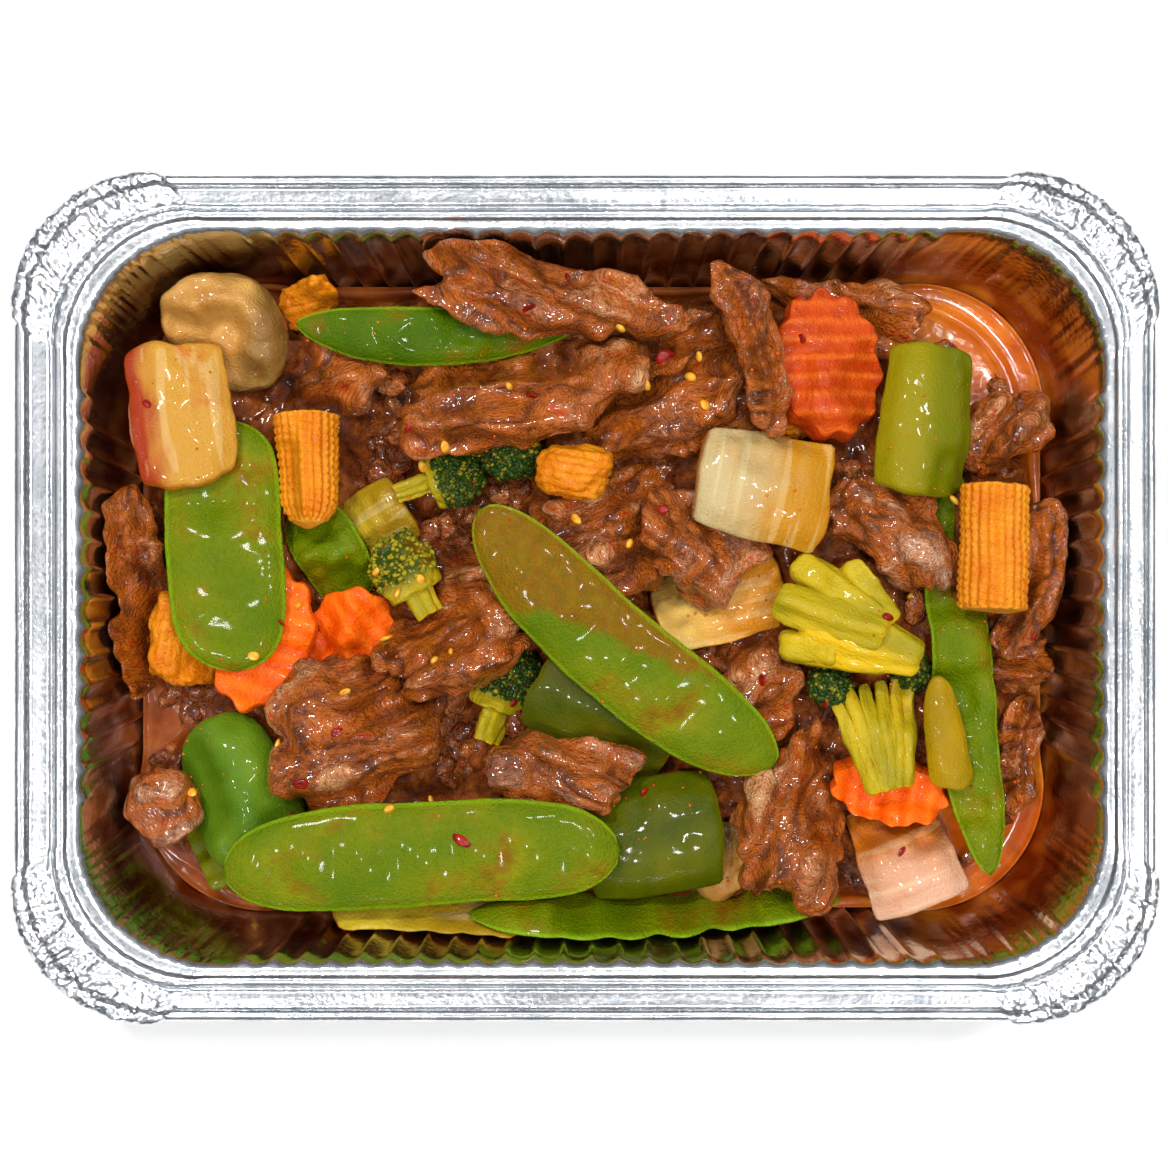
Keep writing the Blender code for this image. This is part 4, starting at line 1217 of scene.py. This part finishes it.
class Relief:
    """Heights of the food over a square grid, in millimetres."""

    CELL = 0.8

    def __init__(self):
        self.middle = np.array([SIDE_X, SIDE_Y])
        self.top = np.full((2 * self.middle / self.CELL).astype(int), SAUCE_LEVEL)

    def places(self, x, y):
        """Where x and y lie on the grid, in cells."""
        limit = np.array(self.top.shape) - 1.001
        spot = (column(x, y) + self.middle) / self.CELL - 0.5
        return np.clip(spot, 0.0, limit)

    def add(self, points):
        """Raise the grid to these points."""
        spot = np.round(self.places(points[:, 0], points[:, 1])).astype(int)
        np.maximum.at(self.top, (spot[:, 0], spot[:, 1]), points[:, 2])

    def ceiling(self):
        """How high sauce may be heaped and stay below these pieces: high where there are none."""
        cover = np.where(self.top > SAUCE_LEVEL, self.top - 2.0, TRAY_HEIGHT)
        for axis in (0, 1):
            for step in (-1, 1):
                cover = np.minimum(cover, np.roll(cover, step, axis))
        return cover

    def blurred(self, radius, field=None):
        """The grid, or another field on it, spread out over a radius."""
        field = self.top if field is None else field
        reach = int(3 * radius / self.CELL)
        weights = np.exp(-0.5 * (np.arange(-reach, reach + 1) * self.CELL / radius) ** 2)
        weights /= weights.sum()

        def spread(line):
            return np.convolve(np.pad(line, reach, mode="edge"), weights, mode="valid")

        return np.apply_along_axis(spread, 1, np.apply_along_axis(spread, 0, field))

    def read(self, field, x, y):
        """A field's value at x and y, smooth between cells."""
        spot = self.places(x, y)
        cell = spot.astype(int)
        share = spot - cell
        i, j = cell[:, 0], cell[:, 1]
        near = field[i, j] * (1 - share[:, 0]) + field[i + 1, j] * share[:, 0]
        far = field[i, j + 1] * (1 - share[:, 0]) + field[i + 1, j + 1] * share[:, 0]
        return near * (1 - share[:, 1]) + far * share[:, 1]


def pool_distance(x, y):
    """How far each place is from the nearest open pool of sauce."""
    return np.min([np.hypot(x - pool_x, y - pool_y) for pool_x, pool_y in POOLS], axis=0)


def build_sauce(material, relief, limit):
    """The sauce: a glossy pool that creeps up the foil and is heaped between the pieces."""
    noise = Noise(3)
    rings_in, around = SAUCE_MESH
    angle = np.linspace(0.0, 2 * math.pi, around, endpoint=False)
    inset = WALL_ROUNDING + (WALL_TOP - SAUCE_LEVEL) * WALL_TAPER - 0.1
    half_x, half_y = OPENING_X - inset, OPENING_Y - inset

    def edge(angle, shrink):
        a, b = half_x - shrink, half_y - shrink
        c, s = np.cos(angle), np.sin(angle)
        low, high = np.zeros_like(angle), np.full_like(angle, 140.0)
        for step in range(40):
            far = 0.5 * (low + high)
            x, y = np.abs(far * c) - (a - CORNER_RADIUS), np.abs(far * s) - (b - CORNER_RADIUS)
            outside = np.hypot(np.maximum(x, 0), np.maximum(y, 0)) + np.minimum(np.maximum(x, y), 0)
            high = np.where(outside > CORNER_RADIUS, far, high)
            low = np.where(outside > CORNER_RADIUS, low, far)
        return low

    # Clear of the ribs of the straight walls
    rim = edge(angle, 0.0)
    side_x, side_y = half_x - np.abs(rim * np.cos(angle)), half_y - np.abs(rim * np.sin(angle))
    from_corner = np.maximum(side_x, side_y) - CORNER_RADIUS
    ribs = RIB_CLEAR * smoothstep(0.0, 6.0, from_corner)
    rim = edge(angle, ribs)
    spread = relief.blurred(HEAP_SPREAD)
    layers, heaps = [np.array([[OPENING_SHIFT, 0.0, SAUCE_LEVEL + 8.0]])], [np.ones(1)]
    for step in range(1, rings_in + 1):
        share = step / rings_in
        share = 1.0 - (1.0 - share) ** 1.2
        reach = rim * share
        x, y = reach * np.cos(angle) + OPENING_SHIFT, reach * np.sin(angle)
        away = rim - reach
        meniscus = MENISCUS * np.exp(-away / MENISCUS)
        ripple = 0.25 * noise.layers(column(x * 0.06, y * 0.06, 0.0), 2)
        ripple *= smoothstep(0.0, 6.0, away)
        mound = relief.read(spread, x, y) - SAUCE_LEVEL
        heap = np.maximum(0.0, mound - HEAP_FROM) * smoothstep(0.0, 5.0, away)
        from_pool = pool_distance(x, y)
        heap *= smoothstep(*POOL_CLEAR, from_pool)
        step_round = 0.7 * np.exp(-((away - 6.0) / 1.1) ** 2) * smoothstep(34.0, 24.0, from_pool)
        grainy = smoothstep(0.5, 4.0, heap)
        clots = noise.ridges(column(x * 0.12, y * 0.12, 5.0), 3, gain=0.6) - 0.28
        height = SAUCE_LEVEL + meniscus + step_round + ripple
        height = height + HEAP_SHARE * heap + CLOTS * clots * grainy
        height = np.minimum(height, np.maximum(relief.read(limit, x, y), SAUCE_LEVEL + 0.3))
        layers.append(column(x, y, height))
        heaps.append(grainy)
    for height in (SAUCE_LEVEL - 4.0, 9.0, 4.0):
        shrink = (SAUCE_LEVEL - height) * WALL_TAPER + 0.25
        reach = edge(angle, shrink + ribs)
        layers.append(column(reach * np.cos(angle) + OPENING_SHIFT, reach * np.sin(angle), height))
        heaps.append(np.zeros(around))
    reach = edge(angle, (SAUCE_LEVEL - SAUCE_FLOOR) * WALL_TAPER + FLOOR_INSET + ribs)
    layers.append(column(reach * np.cos(angle) + OPENING_SHIFT, reach * np.sin(angle), SAUCE_FLOOR))
    layers.append(np.array([[OPENING_SHIFT, 0.0, SAUCE_FLOOR]]))
    heaps.append(np.zeros(around + 1))
    points = np.vstack(layers)
    # Darker away from the open pools: painted shade on the sauce among the pieces.
    shade = smoothstep(*POOL_SHADE, pool_distance(points[:, 0], points[:, 1]))
    sauce = make_object("sauce_pool", points, ball_faces(around, rings_in + 4), material,
                        {"heap": np.concatenate(heaps), "dark": shade})
    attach(sauce, "root")
    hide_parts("sauce")
    relief.add(points)


def bead_shape(detail):
    """Points and faces of a small ball."""
    shape = bmesh.new()
    bmesh.ops.create_icosphere(shape, subdivisions=detail, radius=1.0)
    points = np.array([corner.co[:] for corner in shape.verts])
    faces = [tuple(corner.index for corner in face.verts) for face in shape.faces]
    shape.free()
    return points, faces


def scatter(name, places, sizes, material, seed, detail=1, flat=1.0):
    """Many small beads as one joined mesh: each has its own size, stretch and turn."""
    draw = np.random.default_rng(seed)
    unit, unit_faces = bead_shape(detail)
    all_points, grains = [], []
    for place, size in zip(places, sizes):
        stretch = size * np.array([1.0, draw.uniform(0.6, 1.0), flat * draw.uniform(0.6, 1.0)])
        turned = (unit * stretch) @ turn_matrix(draw.uniform(-180, 180, 3) * (flat, flat, 1.0)).T
        all_points.append(turned + place)
        grains.append(turned + place + draw.uniform(-20, 20, 3))
    faces = joined_faces([len(unit)] * len(places), [unit_faces] * len(places))
    piece = make_object(name, np.vstack(all_points), faces, material, None, np.vstack(grains))
    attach(piece, "root")


def build_food():
    """Every piece of food over its solid."""
    lean = beef_material("beef_lean", dark="74422A", middle="B27650", light="DEAE8C")
    dark_pea = pea_material("snow_pea_dark", "365002", "4A6202", "5E6C02")
    deep = pepper_material("pepper_deep", "3E6008", "66841A", flesh="8A8A14")
    dark = pepper_material("pepper_dark", "344606", "5E560A", flesh="8A8412")
    olive = pepper_material("pepper_olive", "364202", "5E6004", flesh="8E8A0C")
    two_tone = pepper_material("pepper_pale", "5E6604", "6E6C06", flesh="86820A", other="8C7E08")
    yellow = pepper_material("pepper_yellow", "8A6E04", "A88408", flesh="8E8A14")
    red_carrot = carrot_material("carrot_saucy", "A63206", "C4480E", cover=0.5)
    white = onion_material("onion_white", "BCA878", "BA8018", along=False, cover=0.4)
    amber = onion_material("onion_amber", "DAB25A", "C07C1C", cover=0.44)
    soaked = onion_material("onion_soaked", "C08C30", "9C3410", cover=0.5)
    yellow_onion = onion_material("onion_yellow", "BEA428", "9C7A12", cover=0.3)
    pink = onion_material("onion_pink", "D4A486", "B46414", along=False, cover=0.46)
    stalk = broccoli_material("broccoli", 0.34)
    torn_stalk = broccoli_material("broccoli_torn", 0.5)
    kitchen = Kitchen({"beef": beef_material(), "pea": pea_material(), "corn": corn_material(),
                       "carrot": carrot_material(), "mushroom": mushroom_material(),
                       "broccoli": broccoli_material("broccoli_saucy", 0.62)})
    lay = kitchen.lay

    # Pieces that lie on top of all others
    lay("onion_left", petal(27, 21, 3.2, 35, bow=2.0, split=0.45, corners=0.2, relief=0.6,
                            rag=0.12),
        (-77, 35, 33), (4, 6, 98), soaked)
    lay("pea_long", pod(75, 19.5, 5.5, bow=1.5, peas=7, blunt=5), (-31, -50, 33), (6, 0, 3),
        stiff=10.0)
    lay("corn_right", ear(24, 13, 0.2), (77.5, 9.5, 34), (0, 4, 88))
    lay("beef_hook", strip(36, 9, 6, -38, 11, arch=1.5), (32, 48, 37), (0, 4, -72))
    lay("pepper_right", petal(29, 20, 4.0, 75, bow=2.0, taper=0.05, split=0.0),
        (65, 34, 35), (6, 4, 84), two_tone)
    lay("onion_top", petal(26, 22, 4.5, 45, bow=2.0, taper=-0.1, across_tone=True, corners=0.12,
                           rag=0.06),
        (34, 21, 38), (-4, 8, -12), white)
    lay("corn_top", corn_chunk(14, 11, 9, 21, square=0.5), (-2, 24, 32.5), (8, 0, -10))
    lay("broccoli_stalk", stalk_cluster(), (50, -5, 33), (0, 6, 155), stalk,
        guide=floret(29, 15, 21, 0.55, 22))
    lay("pea_middle", pod(74, 18, 5, bow=-3.0, arch=1.0, peas=6, blunt=4), (8, -8, 35), (8, 6, -41),
        saucy=lambda part: 0.9 * smoothstep(0.7, -0.5, part[:, 0] - 0.9 * part[:, 1]))
    lay("beef_tray_left", beef_chunk(16, 15, 9, 23), (-81, -40, 27), (0, 6, 30), lean)

    # Upper left: mushroom, beef slices and the pods between them
    lay("mushroom_left", mushroom(28, 22, 17, 24), (-68.5, 51, 28), (0, 8, -20))
    lay("pea_left", pod(48, 21.5, 5, bow=1.0, peas=4, blunt=5), (-68, 10, 30), (4, 4, 94),
        stiff=10.0)
    lay("beef_top", slab(50, 17, 7, 25, fold=1.5), (-8, 57, 34), (8, 0, -8))
    lay("pea_top", pod(56, 10.5, 4.5, bow=-3.5, peas=6), (-27, 53.5, 32), (10, 0, 3), dark_pea)
    lay("beef_centre", slab(54, 25, 8, 26, fold=2.0), (-13, 41, 33), (-6, -3, 18))
    lay("corn_left", ear(22, 12.5, 1.0), (-53, 24, 31), (0, -6, -88))
    lay("beef_upper_left", slab(33, 20, 7, 27, fold=1.0), (-52, 41, 31), (4, 4, 32), lean)
    lay("corn_wedge", corn_chunk(11, 10, 8, 28, square=0.7), (-54, 57, 28), (0, 0, 10))

    # Upper right: carrot, beef and the pieces round the open pool of sauce
    lay("carrot_top", crinkle_slice(29, 21, 5.5, 11), (46, 44, 33), (16, 14, 96), red_carrot)
    lay("corn_middle", ear(16, 10.5, 0.0), (42, 36, 28), (0, 0, 4))
    lay("beef_upper_right", slab(30, 14, 7, 29), (52, 55, 27), (8, 4, -16))
    lay("beef_side", slab(20, 15, 12, 30, fold=1.0), (81, 32, 23.5), (0, 8, 60))
    lay("beef_right", slab(30, 20, 8, 31, fold=1.5), (59, 14, 29), (0, 4, -48), lean)

    # Middle: curled slices of beef round the chunk of corn
    lay("beef_curl", slab(37, 27, 12, 32, fold=2.0), (16, 39, 28), (0, 4, 34))
    lay("beef_lean", slab(27, 21, 8, 33, fold=1.0), (22, 11, 31), (4, 4, -20), lean)
    lay("beef_middle", slab(34, 28, 11, 34, fold=1.5), (5, 13, 28.5), (0, 0, 40))
    lay("onion_middle", petal(26, 16, 3.2, 30, bow=1.0, across_tone=True), (26, -1, 30),
        (-6, 4, 14), amber)
    lay("broccoli_upper", floret(15, 5, 12, 0.6, 35), (-14, 30, 28), (0, 10, -100))
    lay("broccoli_dark", floret(18, 4, 13, 0.6, 36), (-28, 23, 29), (0, -8, 20))
    lay("broccoli_crumb", floret(17, 6, 12, 0.7, 41), (-34, 4, 28), (0, 0, 120))

    # Lower left: folded beef, carrots and pepper
    lay("beef_fold", slab(34, 23, 9, 37, fold=2.0), (-24, -6, 32), (4, -4, 38))
    lay("beef_crumple", slab(38, 29, 10, 38, fold=2.5), (-45, -27, 31), (0, 0, 40))
    lay("carrot_chip", crinkle_slice(9, 8, 6.0, 7), (-36, -27.5, 26), (10, 0, 20))
    lay("carrot_left", crinkle_slice(28, 19, 5.5, 10), (-62, -8, 27), (0, 8, 75))
    lay("carrot_bright", crinkle_slice(19, 16, 5, 9), (-46, -7, 26), (-6, 6, 40))
    lay("pepper_left", petal(30, 24, 4.0, 85, bow=2.5, taper=0.1, corners=0.5, relief=0.15),
        (-67, -37, 29), (0, 4, 112), deep, stiff=16.0)
    lay("corn_block", corn_chunk(19, 15, 12, 39, square=0.8), (-77, -8, 24), (0, 4, 80))
    lay("beef_wall", strip(42, 10, 7, 12, 40), (-86, 1, 29), (0, 0, 92))
    lay("pea_small", pod(22, 13, 4.5, bow=1.0, peas=2, blunt=4), (-50, 8, 26), (0, 0, -60))
    lay("onion_chunk", petal(16, 15, 4, 40, bow=1.0, across_tone=True),
        (-41.5, 14, 26), (0, 0, 30), yellow_onion)
    lay("pepper_sliver", petal(14, 7, 3, 30), (-73, -50, 24), (0, 8, 120), two_tone)

    # Lower right: pods along the wall, florets, carrot, onion and beef
    lay("pepper_yellow", petal(22, 9, 3.5, 80, taper=0.3, corners=0.4, relief=0.4, rag=0.06),
        (69, -26, 31), (0, 0, 98), yellow)
    lay("pea_right", pod(78, 11.5, 4.5, bow=2.0, peas=7), (74.5, -14, 28), (10, 0, 95))
    lay("broccoli_strands", strand_cluster(26, 12, 19), (56.5, -24, 29), (0, 0, 100), torn_stalk,
        guide=floret(26, 12, 19, 0.4, 42))
    lay("carrot_tilted", crinkle_slice(23, 13, 5, 9), (59, -37, 29), (24, 0, -10))
    lay("beef_lower_right", slab(37, 21, 8, 43, fold=2.0), (40, -43, 30), (0, 0, 78))
    lay("onion_pink", petal(22, 20, 3.5, 50, bow=1.5, taper=0.1, across_tone=True),
        (62, -50, 27), (0, 0, 110), pink)
    lay("beef_bend", strip(32, 9, 7, 60, 44), (87, 3, 29), (0, 0, 76))
    lay("beef_loops", slab(16, 12, 7, 45, fold=1.0), (84, -12, 25), (0, 0, 20))
    lay("beef_arc", strip(24, 9, 6, 50, 46), (84, -30, 19.5), (0, 0, -96))
    lay("beef_pink", slab(30, 18, 8, 47, fold=1.5), (-5, -34, 29), (0, 0, -8), lean)
    lay("pepper_block", petal(27, 26, 4.5, 70, bow=2.0), (13, -46, 29), (0, 0, 8), olive,
        stiff=12.0)
    lay("pepper_middle", petal(30, 24, 4.5, 60, bow=1.0), (4, -22, 29), (0, 0, -30), dark,
        stiff=16.0)
    lay("broccoli_floret", floret(19, 6, 15, 0.65, 48), (-16, -19, 26), (0, 0, 70))
    lay("beef_under", slab(26, 20, 8, 50, fold=1.0), (32, -20, 26), (0, 0, 60))
    lay("mushroom_right", mushroom(18, 13, 9, 49), (27, -51, 24), (0, 0, 80))
    lay("pea_edge", pod(71, 13, 5, bow=-3.0, peas=7), (13.5, -59.5, 29), (-60, 0, 2))
    lay("onion_bottom", petal(37, 14, 4, 35, bow=1.0, across_tone=True),
        (-30, -58, 23.5), (-30, 0, -2), yellow_onion)
    return kitchen


def build_buds(kitchen):
    """Dark buds over the heads of the florets."""
    green, golden = bud_material(), bud_material("buds_golden", 0.54)
    draw = np.random.default_rng(77)
    for node, count in BUDS.items():
        points, normals, form = kitchen.placed[node]
        heads = np.flatnonzero((form.head > 0.5) & (normals[:, 2] > -0.3))
        chosen = draw.choice(heads, size=min(count, len(heads)), replace=False)
        sizes = draw.uniform(0.4, 0.85, len(chosen))
        places = points[chosen] + normals[chosen] * 0.1
        skin = golden if node == "broccoli_crumb" else green
        scatter("buds_" + node, places, sizes, skin, seed=count)


# Seeds and crumbs of garlic, as x and y in millimetres
SEEDS = (
    (22.8, 36.7), (20.0, 41.9), (6.7, 50.8), (21.5, 45.5), (11.4, 40.3), (-1.7, 14.7), (-14.3, 40),
    (-26.4, 28.7), (-31, 25), (8.4, 10.3), (-63, -11), (-55, -1.5), (-38, -7.8), (-28.4, -11.8),
    (-25.5, -10.3), (-45, -17.7), (-58.4, -28), (-75.4, -37.3), (-37, -40), (-29.3, -38.6),
    (-21.5, -28), (-31.4, 3.4), (-39.8, 5), (-35.8, 0.8), (-64.9, -58.6), (-28, -54.4),
    (-20, -48.3), (-12.4, -44.3), (70.6, 18.6), (62.8, 0.4),
)
# Flakes of chilli: x, y and length
FLAKES = (
    (15.4, 45.7, 4.2), (-9.9, 38, 3.2), (-33, 32, 2.6), (-10.5, 54.4, 3), (14.8, 16.6, 2.4),
    (-3.4, 60.4, 2.2), (-23.6, -44.1, 6.0), (-22.6, -44.9, 5.4), (-53.3, -35, 3.2),
    (-46.6, -25.7, 2.8), (-13.9, -20.6, 2.6), (-58, -4.8, 2.2), (85, 19.8, 2.2), (57, -3.6, 2.6),
    (86, -7.4, 2.2), (33.7, -15.8, 2.8), (41, 56.7, 3), (41, 49, 2), (11.4, -37.5, 2.4),
    (61, -49, 3.4), (-82.8, 36.7, 2.2), (-70, 9.8, 2.6), (46, -20, 2.4), (-2, -10, 2),
)


def on_top(relief, places, sink):
    """Points on the food at these places, sunk by a little."""
    places = np.array(places, dtype=float)
    skin = relief.blurred(0.7)
    height = np.minimum(relief.read(relief.top, places[:, 0], places[:, 1]),
                        relief.read(skin, places[:, 0], places[:, 1]) + 0.6)
    return np.column_stack([places[:, :2], height - sink])


def build_bits(relief, gaps):
    """Seeds, chilli flakes, specks and crumbs over the food, and shreds of beef in its gaps."""
    draw = np.random.default_rng(91)
    seed_skin = speck_material("seed", "D8860E", "F0C048")
    flake_skin = speck_material("chilli", "5A0606", "A01408")
    speck_skin = speck_material("specks", "B02C06", "E07818")
    crumb_skin = beef_material("beef_crumb")

    scatter("seeds", on_top(relief, SEEDS, 0.1), draw.uniform(1.1, 1.6, len(SEEDS)), seed_skin,
            5,
            detail=2, flat=0.55)
    flakes = np.array(FLAKES)
    scatter("chilli_flakes", on_top(relief, flakes[:, :2], 0.1), 0.5 * flakes[:, 2], flake_skin,
            6,
            detail=2, flat=0.4)

    heaped = relief.blurred(HEAP_SPREAD)
    spots = np.column_stack([draw.uniform(-90, 92, TRIES), draw.uniform(-64, 64, TRIES)])
    level_spots = column(spots[:, 0], spots[:, 1], SAUCE_LEVEL)
    spots = spots[np.abs(held_in(level_spots, CRUMB_CLEAR) - level_spots).max(axis=1) < 0.001]
    high = relief.read(heaped, spots[:, 0], spots[:, 1]) > SAUCE_LEVEL + 4.0
    free = relief.read(relief.blurred(0.8, gaps.astype(float)), spots[:, 0], spots[:, 1]) > 0.6
    near = Noise(12)(column(spots[:, 0] * 0.05, spots[:, 1] * 0.05, 0.0)) > -0.1
    speck_spots = spots[high & near][:SPECKS]
    sizes = draw.uniform(0.15, 0.42, len(speck_spots))
    scatter("specks", on_top(relief, speck_spots, 0.05), sizes, speck_skin, 7)
    crumb_places = on_top(relief, spots[high & free][:CRUMBS], 0.2)
    parts, grains, faces = [], [], []
    for index, place in enumerate(crumb_places):
        size = draw.uniform(3.5, 9.0)
        form = beef_bit(size, size * draw.uniform(0.4, 0.75), size * draw.uniform(0.3, 0.55), index)
        turned = form.points @ turn_matrix(draw.uniform(-1, 1, 3) * (35, 35, 180)).T
        parts.append(held_in(turned + place))
        grains.append(form.grain + draw.uniform(-30, 30, 3))
        faces.append(form.faces)
    points = np.vstack(parts)
    faces = joined_faces([len(part) for part in parts], faces)
    crumbs = make_object("beef_crumbs", points, faces, crumb_skin, {"fold": np.zeros(len(points))},
                         np.vstack(grains))
    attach(crumbs, "root")


def beef_bit(length, width, thick, seed):
    """A small torn bit of beef."""
    noise = Noise(seed + 2000)

    def place(angle, share):
        tilt = math.pi * share
        return column(0.5 * length * np.cos(tilt), 0.5 * width * np.sin(tilt) * np.cos(angle),
                      0.5 * thick * np.sin(tilt) * np.sin(angle))

    form = ball(*CRUMB_MESH, place)
    form.swell(0.14 * length * noise.layers(form.points * 0.45, 2))
    return form


def add_light(name, size, power, place):
    """A square soft light aimed at the tray."""
    lamp = bpy.data.lights.new(name, "AREA")
    lamp.shape = "SQUARE"
    lamp.size = size
    lamp.energy = power
    thing = bpy.data.objects.new(name, lamp)
    bpy.context.scene.collection.objects.link(thing)
    thing.location = place
    aim = Vector((0.0, 0.0, 0.02)) - Vector(place)
    thing.rotation_euler = aim.to_track_quat("-Z", "Y").to_euler()


def build_studio():
    """White floor, soft lights, the room's glow and the camera straight above."""
    bpy.ops.mesh.primitive_plane_add(size=6.0, location=(0.0, 0.0, 0.0))
    floor = bpy.context.object
    floor.name = "floor"
    floor.data.materials.append(floor_material())

    add_light("key", KEY_SIZE, KEY_POWER, KEY)
    for number, (x, y) in enumerate(LAMPS):
        add_light("lamp_%d" % number, LAMP_SIZE, LAMP_POWER, (x, y, LIGHT_HEIGHT))

    world = bpy.data.worlds.new("room")
    bpy.context.scene.world = world
    world.use_nodes = True
    nodes, links = world.node_tree.nodes, world.node_tree.links
    place = nodes.new("ShaderNodeTexCoord")
    split = nodes.new("ShaderNodeSeparateXYZ")
    ramp = nodes.new("ShaderNodeValToRGB")
    for position, tone in ROOM:
        stop = ramp.color_ramp.elements.new(position)
        stop.color = (tone, tone, tone, 1.0)
    ramp.color_ramp.elements.remove(ramp.color_ramp.elements[-1])
    ramp.color_ramp.elements.remove(ramp.color_ramp.elements[0])
    links.new(place.outputs["Generated"], split.inputs[0])
    links.new(split.outputs["Z"], ramp.inputs["Fac"])
    links.new(ramp.outputs["Color"], nodes["Background"].inputs["Color"])
    nodes["Background"].inputs["Strength"].default_value = ROOM_STRENGTH

    lens = bpy.data.cameras.new("camera")
    camera = bpy.data.objects.new("camera", lens)
    bpy.context.scene.collection.objects.link(camera)
    camera.location = (0.0, CAMERA_SHIFT_Y * MM, CAMERA_HEIGHT * MM)
    lens.sensor_width = SENSOR
    lens.lens = SENSOR * (CAMERA_HEIGHT - TRAY_HEIGHT) / FRAME_WIDTH
    lens.clip_start = 0.01
    bpy.context.scene.camera = camera
    bpy.context.scene.view_settings.view_transform = "Standard"


build_studio()
build_tray(foil_material())
food = build_food()
build_buds(food)
heights, vegetables = Relief(), Relief()
for node, (placed_points, placed_normals, placed_form) in food.placed.items():
    heights.add(placed_points)
    if not node.startswith("beef"):
        vegetables.add(placed_points)
gaps = heights.top <= SAUCE_LEVEL
build_sauce(sauce_material(), heights, vegetables.ceiling())
build_bits(heights, gaps)
